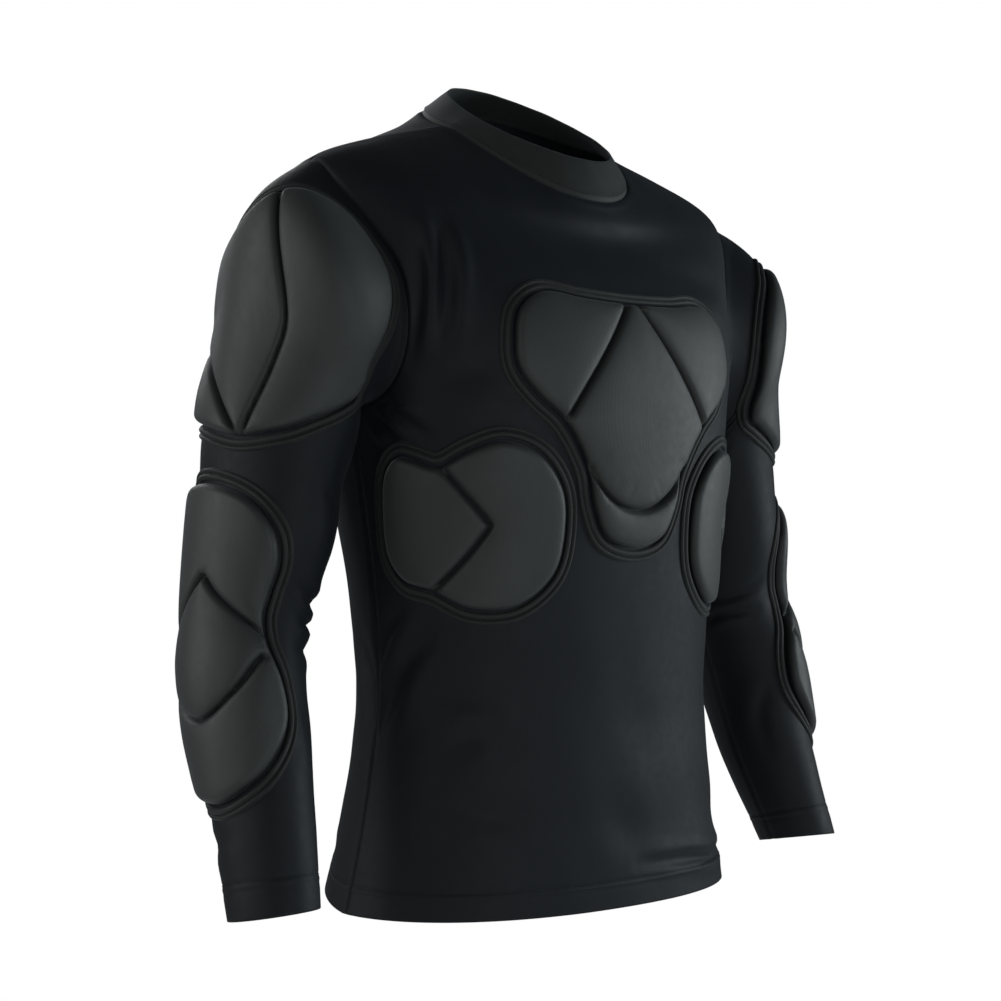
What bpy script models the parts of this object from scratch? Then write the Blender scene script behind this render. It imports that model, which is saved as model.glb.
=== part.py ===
"""A long-sleeved compression shirt with foam pads, in the hollow shape it has when worn.

Metres, +Z up, the wearer faces -Y and the wearer's left is +X. The origin is on the neck's axis,
level with the side of the collar seam. Cloth is laid out in distances along itself: "around" runs
round the body or the arm, "level" is the height on the body, "along" runs down the sleeve.
"""
import math

import bpy
import numpy as np
from mathutils import Matrix
from mathutils.geometry import delaunay_2d_cdt

MM = 0.001
WALL = 1.5 * MM  # jersey with its seam allowances
SEAM = 0.3 * MM  # gap between neighbouring pieces
SLEEVE_LENGTH = 0.600

# Body rings, hem to neck. share: place on the front from hem (0) to neck (1); side: height at the
# side seam; half: half width; middle: y of the ring's middle; front and back: depth from there;
# front_drop and back_drop: how much lower the ring runs there; round: 1 is an ellipse, less is squarer;
# bend: 1 is a ring that is flat and only tilted, 2 one that keeps level near its sides.
BODY = np.array([
    # share, side, half, middle, front, back, front_drop, back_drop, round, bend
    (0.00, -0.604, 0.184, -0.008, 0.119, 0.104, 0.000, -0.030, 0.90, 1.2),  # hem
    (0.12, -0.535, 0.170, -0.011, 0.113, 0.100, 0.000, -0.012, 0.90, 1.6),  # hips
    (0.26, -0.446, 0.158, -0.013, 0.109, 0.096, 0.000, 0.000, 0.88, 2.0),  # waist
    (0.40, -0.356, 0.159, -0.009, 0.118, 0.100, 0.000, 0.000, 0.82, 2.0),  # lower ribs
    (0.50, -0.284, 0.166, -0.004, 0.128, 0.108, 0.000, 0.000, 0.78, 2.0),
    (0.60, -0.220, 0.174, 0.000, 0.136, 0.114, 0.000, 0.000, 0.76, 2.0),  # chest, underarm
    (0.74, -0.126, 0.191, 0.003, 0.130, 0.112, 0.022, 0.006, 0.82, 2.0),
    (0.88, -0.034, 0.206, 0.008, 0.104, 0.094, 0.052, 0.006, 1.00, 2.0),  # shoulder points
    (0.95, -0.008, 0.140, 0.004, 0.099, 0.088, 0.062, -0.016, 1.00, 1.5),
    (1.00, 0.006, 0.081, -0.006, 0.085, 0.091, 0.061, -0.038, 1.00, 1.15),  # collar seam
])
UNDERARM, SHOULDER = 0.60, 0.88  # shares of the lowest and highest point of the armhole
ARMHOLE_FRONT, ARMHOLE_BACK = 27.0, 25.0  # degrees that it cuts in from the side seam

# Left sleeve rings. share: of the sleeve's length; x, y, z: middle; tilt: the ring's outer side
# turned up; lean: its front side turned up; wide and deep: half sizes across and front to back.
SLEEVE = np.array([
    # share, x, y, z, tilt, lean, wide, deep
    (0.10, 0.222, -0.003, -0.152, 68, 0, 0.089, 0.068),
    (0.22, 0.226, 0.006, -0.205, 50, -4, 0.063, 0.065),
    (0.36, 0.239, 0.010, -0.262, 28, -6, 0.053, 0.060),  # upper arm
    (0.50, 0.247, 0.008, -0.319, 13, -4, 0.047, 0.056),
    (0.60, 0.258, 0.009, -0.374, 12, 8, 0.043, 0.046),  # elbow
    (0.72, 0.268, -0.002, -0.429, 12, 18, 0.043, 0.046),
    (0.86, 0.271, -0.023, -0.500, 8, 18, 0.038, 0.042),
    (1.00, 0.281, -0.054, -0.586, -2, 10, 0.032, 0.034),  # cuff
])

# Collar band: the same columns as BODY, at its seam and at its rim.
COLLAR = np.array([
    (0.0, 0.006, 0.081, -0.006, 0.085, 0.091, 0.061, -0.038, 1.0, 1.15),
    (1.0, 0.018, 0.063, -0.010, 0.072, 0.072, 0.040, -0.040, 1.0, 1.0),
])

# Largest soft folds, the same on both sides of the panel's centre line: a trough from one end
# to the other, in metres.
FRONT_FOLDS = (
    # around, level, around_end, level_end, width, depth
    (0.146, -0.075, 0.158, -0.160, 0.016, 0.0035),  # beside the armhole
    (0.168, -0.392, 0.214, -0.470, 0.018, 0.0035),  # waist
    (0.060, -0.575, 0.190, -0.548, 0.016, 0.0030),  # above the hem
)
BACK_FOLDS = (
    (0.150, -0.080, 0.160, -0.170, 0.016, 0.0035),
    (0.060, -0.400, 0.180, -0.425, 0.018, 0.0035),
    (0.040, -0.455, 0.150, -0.470, 0.018, 0.0030),
)
FOLD_FADE = math.radians(14)  # the folds run out towards the panel's edges

# Pad outlines as (around, level or along) in millimetres, read through as smooth closed curves,
# with the grooves pressed into the foam. The chest outline is one half, mirrored at the centre. The
# left sleeve is worn a little lower on the arm, so its shoulder pad starts further down.
CHEST_HALF = ((0, -116), (48, -115), (84, -114), (106, -134), (113, -165), (111, -190), (96, -212),
              (73, -233), (50, -268), (42, -297), (29, -319), (0, -327))
CHEST_GROOVES = (
    ((-73, -233), (-41, -180), (-6, -126), (0, -117), (6, -126), (41, -180), (73, -233)),
    ((-49, -266), (-38, -281), (-20, -294), (0, -298), (20, -294), (38, -281), (49, -266)),
)
RIB_OUTLINE = ((121, -248), (92, -258), (72, -283), (68, -313), (75, -346), (103, -370), (137, -372),
               (166, -359), (190, -352), (206, -334), (213, -300), (212, -270), (202, -259),
               (187, -262), (168, -267), (146, -256))
RIB_GROOVES = (((164, -268), (146, -287), (129, -306), (126, -310), (129, -315), (144, -336), (164, -359)),)
SHOULDER_LEFT = ((-20, 92), (4, 80), (24, 68), (46, 57), (73, 52), (104, 48), (131, 51), (148, 62),
                 (150, 84), (133, 111), (109, 140), (84, 172), (56, 203), (24, 221), (-18, 217), (-46, 207),
                 (-72, 186), (-86, 158), (-84, 130), (-66, 108), (-44, 98))
SHOULDER_RIGHT = ((-20, 80), (4, 66), (22, 53), (44, 38), (70, 24), (104, 20), (138, 23), (159, 38),
                  (165, 62), (152, 90), (133, 111), (109, 140), (84, 172), (56, 203), (24, 221),
                  (-18, 217), (-46, 207), (-72, 186), (-86, 156), (-84, 124), (-66, 99), (-44, 87))
SHOULDER_LEFT_GROOVES = (
    ((20, 70), (31, 88), (46, 122), (42, 154), (28, 220)),
    ((-84, 116), (-60, 133), (-40, 153), (-15, 177), (24, 220)),
)
SHOULDER_RIGHT_GROOVES = (
    ((20, 54), (31, 82), (46, 122), (42, 154), (28, 220)),
    ((-84, 116), (-60, 133), (-40, 153), (-15, 177), (24, 220)),
)
ELBOW_OUTLINE = ((-30, 273), (6, 267), (38, 275), (55, 297), (59, 322), (54, 352), (51, 377), (55, 407),
                 (65, 443), (64, 476), (50, 503), (32, 521), (6, 530), (-22, 521), (-40, 503),
                 (-52, 476), (-53, 443), (-43, 407), (-39, 377), (-42, 352), (-47, 322), (-45, 297))
ELBOW_GROOVES = (
    ((-38, 398), (-17, 369), (2, 345), (6, 340), (10, 345), (29, 369), (52, 400)),
    ((-38, 422), (-20, 452), (6, 468), (32, 452), (52, 422)),
)

# For each kind of pad, in millimetres: thickness of the foam, spacing of its modelled points, and
# how far it and its trim lie over the cloth, which is more where the cloth is bent more.
FOAM = {
    "chest": (9.0, 15.0, 0.7),
    "rib": (8.0, 14.0, 0.7),
    "shoulder": (9.0, 16.0, 1.7),
    "elbow": (10.0, 12.0, 1.3),
}
FOAM_EDGE = 3.5  # height of the foam at its outline
FOAM_SHOULDER = 13.0  # width over which it rises from there
GROOVE_DEPTH, GROOVE_HALF = 4.0, 6.0
BORDER_OFF = 1.0  # from the foam's outline to the border
BORDER_SECTION = ((0.0, 0.0), (2.5, 2.8), (5.0, 1.5), (7.5, 2.8), (10.0, 0.0))  # across, height
BORDER_STEP = 11.0

FRONT_COLUMNS, BACK_COLUMNS = 24, 16
BODY_ROWS, ARMHOLE_ROWS, SHOULDER_ROWS = 11, 11, 3
SLEEVE_ROWS = ((0.12, 5), (0.44, 6), (0.78, 8), (1.0, 4))  # up to a share, rows from there on
COLLAR_COLUMNS, COLLAR_ROWS = 32, 2

JERSEY = (0.012, 0.015, 0.019)
COLLAR_CLOTH = (0.030, 0.033, 0.030)
FOAM_CLOTH = (0.036, 0.039, 0.036)
TRIM_CLOTH = (0.024, 0.026, 0.023)


def read_curve(rows, knots, at):
    """Rows of numbers given at knots, read at other places by a smooth cubic through them."""
    rise = np.diff(knots).reshape((-1,) + (1,) * (rows.ndim - 1))
    slope = np.diff(rows, axis=0) / rise
    tangent = np.empty_like(rows)
    tangent[1:-1] = (slope[:-1] * rise[1:] + slope[1:] * rise[:-1]) / (rise[:-1] + rise[1:])
    tangent[0], tangent[-1] = slope[0], slope[-1]
    i = np.clip(np.searchsorted(knots, at) - 1, 0, len(knots) - 2)
    span = (knots[i + 1] - knots[i]).reshape(at.shape + (1,) * (rows.ndim - 1))
    u = (at - knots[i]).reshape(span.shape) / span
    start = (2 * u**3 - 3 * u**2 + 1) * rows[i] + (u**3 - 2 * u**2 + u) * span * tangent[i]
    return start + (3 * u**2 - 2 * u**3) * rows[i + 1] + (u**3 - u**2) * span * tangent[i + 1]


def ring_point(rings, angle, share):
    """Points on rings such as BODY's, at an angle in radians from the front centre."""
    angle, share = np.broadcast_arrays(angle, share)
    columns = read_curve(rings[:, 1:], rings[:, 0], share.ravel()).reshape(share.shape + (9,))
    side, half, middle, front, back, front_drop, back_drop, power, bend = np.moveaxis(columns, -1, 0)
    s, c = np.sin(angle), np.cos(angle)
    x = half * np.sign(s) * np.abs(s) ** power
    y = middle - np.where(c > 0, front, back) * np.sign(c) * np.abs(c) ** power
    return np.stack([x, y, side - np.where(c > 0, front_drop, back_drop) * np.abs(c) ** bend], -1)


def body_point(angle, share):
    return ring_point(BODY, angle, share)


def armhole(turn):
    """(angle, share) on the body's left armhole; turn 0 is its top, a quarter turn its front."""
    cut = np.where(np.sin(turn) > 0, math.radians(ARMHOLE_FRONT), math.radians(ARMHOLE_BACK))
    middle, half = (SHOULDER + UNDERARM) / 2, (SHOULDER - UNDERARM) / 2
    return math.pi / 2 - cut * np.sin(turn), middle + half * np.cos(turn)


def sleeve_point(turn, share):
    """Points of the left sleeve, which leaves the body along the body's own surface."""
    turn, share = np.broadcast_arrays(turn, share)
    flat = turn.ravel()
    angle, level = armhole(flat)
    middle_angle, middle_level = math.pi / 2, (SHOULDER + UNDERARM) / 2
    before = body_point(middle_angle + 1.25 * (angle - middle_angle),
                        middle_level + 1.25 * (level - middle_level))
    rings = [before, body_point(angle, level)]
    for _, x, y, z, tilt, lean, wide, deep in SLEEVE:
        tilt, lean = math.radians(tilt), math.radians(lean)
        outwards = np.array([math.cos(tilt), 0, math.sin(tilt)])
        forwards = np.array([0, -math.cos(lean), math.sin(lean)])
        rings.append(np.array([x, y, z]) + wide * np.cos(flat)[:, None] * outwards
                     + deep * np.sin(flat)[:, None] * forwards)
    rings = np.array(rings)
    knots = np.concatenate([[-0.07, 0.0], SLEEVE[:, 0]])
    at = share.ravel()
    # Each point has its own line down the sleeve, so the lines are read one share at a time.
    points = np.empty((len(at), 3))
    for value in np.unique(at):
        rows = at == value
        points[rows] = read_curve(rings[:, rows], knots, np.array([value]))[0]
    return points.reshape(turn.shape + (3,))


def outward(point, a, b, step_a=0.01, step_b=0.004):
    """Unit normals of point(a, b), by differences."""
    across = point(a + step_a, b) - point(a - step_a, b)
    up = point(a, b + step_b) - point(a, b - step_b)
    normal = np.cross(across, up)
    return normal / np.linalg.norm(normal, axis=-1, keepdims=True)


def girth_angle(point, around, share):
    """The angle at which a distance round the ring, from angle 0, is reached."""
    angles = np.linspace(-math.pi, math.pi, 97)
    found = np.empty(len(around))
    for value in np.unique(share):
        rows = share == value
        ring = point(angles, np.full(angles.shape, value))
        length = np.concatenate([[0], np.cumsum(np.linalg.norm(np.diff(ring, axis=0), axis=1))])
        found[rows] = np.interp(around[rows], length - np.interp(0.0, angles, length), angles)
    return found


def body_share(level):
    shares = np.linspace(0, 1, 201)
    return np.interp(level, read_curve(BODY[:, 1:2], BODY[:, 0], shares)[:, 0], shares)


def segment_distance(points, start, end):
    """Distance of each point from a segment, and how far along the segment it is."""
    run = end - start
    along = np.clip((points - start) @ run / (run @ run), 0, 1)
    return np.linalg.norm(points - start - along[..., None] * run, axis=-1), along


def fold_depth(folds, around, level, to_edge):
    """How deep the soft folds press in at a place on a panel, to_edge radians from its edge."""
    place = np.stack([np.abs(around), level], -1)
    depth = np.zeros(np.shape(around))
    for start, start_level, end, end_level, width, deepest in folds:
        ends = np.array([(start, start_level), (end, end_level)])
        distance, along = segment_distance(place, *ends)
        depth += deepest * np.exp(-(distance / width) ** 2) * (0.4 + 0.6 * np.sin(math.pi * along))
    return depth * np.clip(to_edge / FOLD_FADE, 0, 1)


def on_body(around, level, lift):
    """Points over the body's cloth at a distance round it and a level, in metres."""
    share = body_share(level)
    angle = girth_angle(body_point, around, share)
    to_edge = panel_edge(share, ARMHOLE_FRONT) - np.abs(angle)
    height = lift - fold_depth(FRONT_FOLDS, around, level, to_edge)
    return body_point(angle, share) + height[:, None] * outward(body_point, angle, share)


def on_sleeve(around, along, lift):
    """Points over the left sleeve's cloth; around 0 is its outer side, and the front is positive."""
    share = along / SLEEVE_LENGTH
    turn = girth_angle(sleeve_point, around, share)
    return sleeve_point(turn, share) + lift[:, None] * outward(sleeve_point, turn, share)


def add_object(name, vertices, faces, material, collection):
    mesh = bpy.data.meshes.new(name)
    mesh.from_pydata([tuple(v) for v in vertices], [], [tuple(f) for f in faces])
    mesh.materials.append(material)
    mesh.shade_smooth()
    mesh.set_sharp_from_angle(angle=math.radians(50))
    made = bpy.data.objects.new(name, mesh)
    collection.objects.link(made)
    return made


def mirror_over(made):
    """Moves a piece to the other side of the body, with its faces still outwards."""
    made.data.transform(Matrix.Scale(-1, 4, (1, 0, 0)))
    made.data.flip_normals()


def add_cloth(name, outer, normal, closed, material, collection):
    """A wall of cloth under a grid of points. Pieces that meet share their seam's normals, so that
    the seam gap has parallel sides through the wall."""
    rows, columns = outer.shape[:2]
    faces = grid_faces(rows, columns, closed)
    below = rows * columns
    faces += [tuple(below + v for v in reversed(face)) for face in faces]
    low, high = list(range(columns)), list(range(below - columns, below))
    if closed:
        rims = [low + low[:1], (high + high[:1])[::-1]]
    else:
        left = [r * columns for r in range(rows)]
        right = [r * columns + columns - 1 for r in range(rows)]
        rims = [low, right, high[::-1], left[::-1]]
    for rim in rims:
        faces += [(v, below + v, below + after, after) for v, after in zip(rim[:-1], rim[1:])]
    points = np.concatenate([outer.reshape(-1, 3), (outer - WALL * normal).reshape(-1, 3)])
    return add_object(name, points, faces, material, collection)


def grid_faces(rows, columns, closed=False):
    """Quads of a grid of points stored row by row, whose rows may close into rings."""
    faces = []
    for r in range(rows - 1):
        for c in range(columns if closed else columns - 1):
            n = (c + 1) % columns
            faces.append((r * columns + c, r * columns + n, (r + 1) * columns + n, (r + 1) * columns + c))
    return faces


def trimmed(grid, edges):
    """A grid of points with the named edges drawn back by half a seam gap, along the cloth."""
    grid = grid.copy()
    ends = {"low": (np.s_[0], np.s_[1]), "high": (np.s_[-1], np.s_[-2]),
            "left": (np.s_[:, 0], np.s_[:, 1]), "right": (np.s_[:, -1], np.s_[:, -2])}
    for edge in edges:
        outer, inner = ends[edge]
        inwards = grid[inner] - grid[outer]
        grid[outer] += inwards / np.linalg.norm(inwards, axis=-1, keepdims=True) * SEAM / 2
    return grid


def panel_shares():
    """Levels of the body panels' rows, with the armhole's rows where the sleeve's ring has points."""
    turns = np.linspace(math.pi, 0, ARMHOLE_ROWS + 1)
    below = np.linspace(0, UNDERARM, BODY_ROWS + 1)[:-1]
    above = np.linspace(SHOULDER, 1, SHOULDER_ROWS + 1)[1:]
    return np.concatenate([below, armhole(turns)[1], above])


def panel_edge(share, cut):
    """Angle from the panel's centre line to its edge: the side seam, the armhole or the shoulder seam."""
    middle, half = (SHOULDER + UNDERARM) / 2, (SHOULDER - UNDERARM) / 2
    inside = np.clip(1 - ((share - middle) / half) ** 2, 0, 1)
    return math.pi / 2 - math.radians(cut) * np.sqrt(inside)


def collar_point(angle, share):
    return ring_point(COLLAR, angle, share)


def neck_normal(angle):
    """The direction of the collar seam's gap: between those of the panel and the collar."""
    both = outward(body_point, angle, np.ones_like(angle))
    both = both + outward(collar_point, angle, np.zeros_like(angle))
    return both / np.linalg.norm(both, axis=-1, keepdims=True)


def body_panel(name, columns, cut, centre, folds, material, collection):
    share = panel_shares()[:, None]
    edge = panel_edge(share, cut)
    spread = np.linspace(-1, 1, columns + 1)[None, :] * edge
    angle, share = np.broadcast_arrays(centre + spread, share)
    points = body_point(angle, share)
    normal = outward(body_point, angle, share)
    normal[-1] = neck_normal(angle[-1])
    steps = np.linalg.norm(np.diff(points, axis=1), axis=-1)
    around = np.concatenate([np.zeros((len(points), 1)), np.cumsum(steps, axis=1)], axis=1)
    around -= around[:, columns // 2][:, None]
    side = read_curve(BODY[:, 1:2], BODY[:, 0], share[:, 0]) + np.zeros_like(around)
    depth = fold_depth(folds, around, side, edge - np.abs(spread))
    points = trimmed(points - depth[..., None] * normal, ("left", "right", "high"))
    return add_cloth(name, points, normal, False, material, collection)


def add_sleeve(name, material, collection):
    turns = np.linspace(0, 2 * math.pi, 2 * ARMHOLE_ROWS, endpoint=False)[None, :]
    shares = np.array([0.0])
    for end, rows in SLEEVE_ROWS:
        shares = np.concatenate([shares, np.linspace(shares[-1], end, rows + 1)[1:]])
    turns, shares = np.broadcast_arrays(turns, shares[:, None])
    normal = outward(sleeve_point, turns, shares)
    normal[0] = outward(body_point, *armhole(turns[0]))
    points = trimmed(sleeve_point(turns, shares), ("low",))
    return add_cloth(name, points, normal, True, material, collection)


def add_collar(name, material, collection):
    angles = np.linspace(0, 2 * math.pi, COLLAR_COLUMNS, endpoint=False)[None, :]
    angles, shares = np.broadcast_arrays(angles, np.linspace(0, 1, COLLAR_ROWS + 1)[:, None])
    normal = outward(collar_point, angles, shares)
    normal[0] = neck_normal(angles[0])
    points = trimmed(collar_point(angles, shares), ("low",))
    return add_cloth(name, points, normal, True, material, collection)


def smooth_outline(corners, step):
    """A closed smooth curve through the corners, anticlockwise, with points about a step apart."""
    corners = np.array(corners, float)
    loop = np.concatenate([corners[-2:], corners, corners[:3]])
    chord = np.concatenate([[0], np.cumsum(np.linalg.norm(np.diff(loop, axis=0), axis=1) ** 0.5)])
    fine = read_curve(loop, chord, np.linspace(chord[2], chord[-3], 721))
    length = np.concatenate([[0], np.cumsum(np.linalg.norm(np.diff(fine, axis=0), axis=1))])
    count = round(length[-1] / step)
    at = np.arange(count) * length[-1] / count
    outline = np.stack([np.interp(at, length, fine[:, k]) for k in (0, 1)], -1)
    after = np.roll(outline, -1, axis=0)
    area = np.sum(outline[:, 0] * after[:, 1] - after[:, 0] * outline[:, 1])
    return outline if area > 0 else outline[::-1]


def smooth_line(corners, step):
    corners = np.array(corners, float)
    chord = np.concatenate([[0], np.cumsum(np.linalg.norm(np.diff(corners, axis=0), axis=1))])
    count = max(2, round(chord[-1] / step))
    return read_curve(corners, chord, np.linspace(0, chord[-1], count + 1))


def outline_offset(surface, outline, distance):
    """An anticlockwise outline moved outwards by a true distance on the cloth, in short steps."""
    steps = math.ceil(distance / 4.0)
    flat = np.zeros(len(outline))
    for _ in range(steps):
        x, y = outline.T * MM
        by_x = (surface(x + MM, y, flat) - surface(x - MM, y, flat)) / (2 * MM)
        by_y = (surface(x, y + MM, flat) - surface(x, y - MM, flat)) / (2 * MM)
        xx, xy, yy = (by_x * by_x).sum(1), (by_x * by_y).sum(1), (by_y * by_y).sum(1)
        run = np.roll(outline, -1, axis=0) - np.roll(outline, 1, axis=0)
        across = np.stack([yy * run[:, 1] + xy * run[:, 0], -xy * run[:, 1] - xx * run[:, 0]], -1)
        length = np.sqrt(xx * across[:, 0]**2 + 2 * xy * across[:, 0] * across[:, 1] + yy * across[:, 1]**2)
        outline = outline + across / length[:, None] * (distance / steps)
    return outline


def path_distance(points, paths):
    """Distance of each point from the nearest of some paths."""
    nearest = np.full(len(points), 1e9)
    for path in paths:
        for start, end in zip(path[:-1], path[1:]):
            nearest = np.minimum(nearest, segment_distance(points, start, end)[0])
    return nearest


def inside_outline(points, outline):
    inside = np.zeros(len(points), bool)
    for (x, y), (x2, y2) in zip(outline, np.roll(outline, -1, axis=0)):
        if y == y2:
            continue
        crosses = (y > points[:, 1]) != (y2 > points[:, 1])
        inside ^= crosses & (points[:, 0] < (x2 - x) * (points[:, 1] - y) / (y2 - y) + x)
    return inside


def fill_points(outline, spacing, keep_off):
    """Points in rows of triangles that fill an outline, clear of some paths."""
    low, high = outline.min(axis=0), outline.max(axis=0)
    rows = np.arange(low[1], high[1], spacing * math.sqrt(3) / 2)
    points = np.array([(x + (r % 2) * spacing / 2, y) for r, y in enumerate(rows)
                       for x in np.arange(low[0], high[0], spacing)])
    loop = [np.concatenate([outline, outline[:1]])]
    clear = inside_outline(points, outline) & (path_distance(points, loop) > spacing * 0.55)
    clear &= path_distance(points, keep_off) > spacing * 0.55
    return points[clear]


def triangulated(outline, lines, fill):
    """Triangles that fill an outline and have edges along some lines. The outline's points come first."""
    points = [*outline]
    edges = [(k, (k + 1) % len(outline)) for k in range(len(outline))]
    for line in lines:
        first = len(points)
        points += [*line]
        edges += [(first + k, first + k + 1) for k in range(len(line) - 1)]
    points += [*fill]
    result = delaunay_2d_cdt([tuple(p) for p in points], edges, [], 1, 1e-3)
    found, faces, origins = np.array([tuple(p) for p in result[0]]), result[2], result[3]
    order = {origin: new for new, group in enumerate(origins) for origin in group if origin < len(outline)}
    first = [order[k] for k in range(len(outline))]
    taken = set(first)
    moved = first + [k for k in range(len(found)) if k not in taken]
    place = {old: new for new, old in enumerate(moved)}
    return found[moved], [tuple(place[v] for v in face) for face in faces]


def foam_height(points, outline, grooves, thickness):
    """Height of the foam over the cloth: it rises from its outline and dips in its grooves."""
    loop = [np.concatenate([outline, outline[:1]])]
    rise = np.clip(path_distance(points, loop) / FOAM_SHOULDER, 0, 1)
    height = FOAM_EDGE + (thickness - FOAM_EDGE) * np.sin(rise * math.pi / 2)
    dip = np.clip(1 - path_distance(points, grooves) / GROOVE_HALF, 0, 1)
    return np.minimum(height, np.maximum(height - GROOVE_DEPTH * dip, FOAM_EDGE * 0.7))


def foam_pad(name, surface, outline, grooves, size, material, collection):
    """A sewn-on foam pad: a plain underside on the cloth and a grooved top."""
    thickness, spacing, lift = size
    edge = smooth_outline(outline, spacing)
    lines = [smooth_line(groove, spacing * 0.8) for groove in grooves]
    top, top_faces = triangulated(edge, [line[1:-1] for line in lines], fill_points(edge, spacing, lines))
    base, base_faces = triangulated(edge, [], fill_points(edge, spacing, []))
    height = foam_height(top, edge, lines, thickness)
    over = surface(top[:, 0] * MM, top[:, 1] * MM, (lift + height) * MM)
    under = surface(base[:, 0] * MM, base[:, 1] * MM, np.full(len(base), lift * MM))
    count = len(edge)
    faces = [face for face in top_faces]
    faces += [tuple(len(top) + v for v in reversed(face)) for face in base_faces]
    faces += [(k, len(top) + k, len(top) + (k + 1) % count, (k + 1) % count) for k in range(count)]
    return add_object(name, np.concatenate([over, under]), faces, material, collection)


def face_outwards(made):
    """Turns all faces round where the closed shape came out inside out."""
    mesh = made.data
    mesh.calc_loop_triangles()
    corners = np.array([[mesh.vertices[v].co for v in t.vertices] for t in mesh.loop_triangles])
    if np.einsum("ij,ij->i", corners[:, 0], np.cross(corners[:, 1], corners[:, 2])).sum() < 0:
        mesh.flip_normals()


def pad_border(name, surface, outline, lift, material, collection):
    """The double-ridged trim round a pad, as one closed ring of sections."""
    edge = smooth_outline(outline, BORDER_STEP)
    sections = []
    for across, height in BORDER_SECTION:
        line = outline_offset(surface, edge, BORDER_OFF + across)
        sections.append(surface(line[:, 0] * MM, line[:, 1] * MM, np.full(len(line), (lift + height) * MM)))
    points = np.stack(sections, axis=1)
    count, around = points.shape[:2]
    faces = [(s * around + k, s * around + (k + 1) % around,
              (s + 1) % count * around + (k + 1) % around, (s + 1) % count * around + k)
             for s in range(count) for k in range(around)]
    made = add_object(name, points.reshape(-1, 3), faces, material, collection)
    face_outwards(made)
    return made


def cloth_material(name, colour, roughness):
    made = bpy.data.materials.new(name)
    made.use_nodes = True
    shader = made.node_tree.nodes["Principled BSDF"]
    shader.inputs["Base Color"].default_value = (*colour, 1)
    shader.inputs["Roughness"].default_value = roughness
    shader.inputs["Metallic"].default_value = 0.0
    return made


def build_cloth(jersey, collar_cloth, collection):
    body_panel("front_panel", FRONT_COLUMNS, ARMHOLE_FRONT, 0.0, FRONT_FOLDS, jersey, collection)
    body_panel("back_panel", BACK_COLUMNS, ARMHOLE_BACK, math.pi, BACK_FOLDS, jersey, collection)
    add_sleeve("sleeve_left", jersey, collection)
    mirror_over(add_sleeve("sleeve_right", jersey, collection))
    add_collar("collar", collar_cloth, collection)


def build_pads(foam, trim, collection):
    half = CHEST_HALF
    chest = half + tuple((-a, level) for a, level in half[-2:0:-1])
    foam_pad("chest_pad", on_body, chest, CHEST_GROOVES, FOAM["chest"], foam, collection)
    pad_border("chest_pad_border", on_body, chest, FOAM["chest"][2], trim, collection)
    pads = (
        ("rib", "left", on_body, RIB_OUTLINE, RIB_GROOVES),
        ("rib", "right", on_body, RIB_OUTLINE, RIB_GROOVES),
        ("shoulder", "left", on_sleeve, SHOULDER_LEFT, SHOULDER_LEFT_GROOVES),
        ("shoulder", "right", on_sleeve, SHOULDER_RIGHT, SHOULDER_RIGHT_GROOVES),
        ("elbow", "left", on_sleeve, ELBOW_OUTLINE, ELBOW_GROOVES),
        ("elbow", "right", on_sleeve, ELBOW_OUTLINE, ELBOW_GROOVES),
    )
    for kind, side, surface, outline, grooves in pads:
        pad = foam_pad(f"{kind}_pad_{side}", surface, outline, grooves, FOAM[kind], foam, collection)
        border = pad_border(f"{kind}_pad_border_{side}", surface, outline, FOAM[kind][2], trim, collection)
        if side == "right":
            mirror_over(pad)
            mirror_over(border)


def main():
    for old in list(bpy.data.objects):
        bpy.data.objects.remove(old, do_unlink=True)
    collection = bpy.data.collections.new("padded_compression_shirt")
    bpy.context.scene.collection.children.link(collection)
    jersey = cloth_material("jersey", JERSEY, 0.45)
    collar_cloth = cloth_material("collar_jersey", COLLAR_CLOTH, 0.6)
    foam = cloth_material("foam_cover", FOAM_CLOTH, 0.7)
    trim = cloth_material("pad_trim", TRIM_CLOTH, 0.65)
    build_cloth(jersey, collar_cloth, collection)
    build_pads(foam, trim, collection)


main()
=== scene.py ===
"""A padded compression shirt in its worn, hollow shape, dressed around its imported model.

Metres, +Z up. The front faces -Y and the left sleeve is at +X. Cloth is laid out by distances in
millimetres along itself: "around" runs round the body or the arm, "level" is the height on the body,
and "along" runs down a sleeve.
"""

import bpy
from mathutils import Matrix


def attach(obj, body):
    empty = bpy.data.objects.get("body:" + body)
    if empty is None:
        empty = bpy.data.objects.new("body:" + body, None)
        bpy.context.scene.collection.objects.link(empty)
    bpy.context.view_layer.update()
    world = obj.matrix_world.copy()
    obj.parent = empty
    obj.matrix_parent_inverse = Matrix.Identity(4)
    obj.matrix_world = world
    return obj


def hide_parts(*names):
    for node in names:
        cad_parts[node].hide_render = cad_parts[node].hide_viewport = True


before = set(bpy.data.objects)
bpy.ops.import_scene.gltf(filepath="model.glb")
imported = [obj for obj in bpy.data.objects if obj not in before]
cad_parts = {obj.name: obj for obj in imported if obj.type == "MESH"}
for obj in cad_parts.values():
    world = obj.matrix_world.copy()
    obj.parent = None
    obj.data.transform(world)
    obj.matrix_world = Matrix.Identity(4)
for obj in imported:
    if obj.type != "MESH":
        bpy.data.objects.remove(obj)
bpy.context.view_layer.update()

import math

import bpy
import numpy as np
from mathutils import Matrix, Vector
from mathutils.geometry import delaunay_2d_cdt

MM = 0.001
SLEEVE_LENGTH = 600.0
JERSEY_WALL = 0.9
HEM_HEIGHT = 20.0
CUFF_HEIGHT = 19.0
CUFF_SCALE = 0.86  # true length of the sleeve's last stretch for each millimetre of "along"

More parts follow.
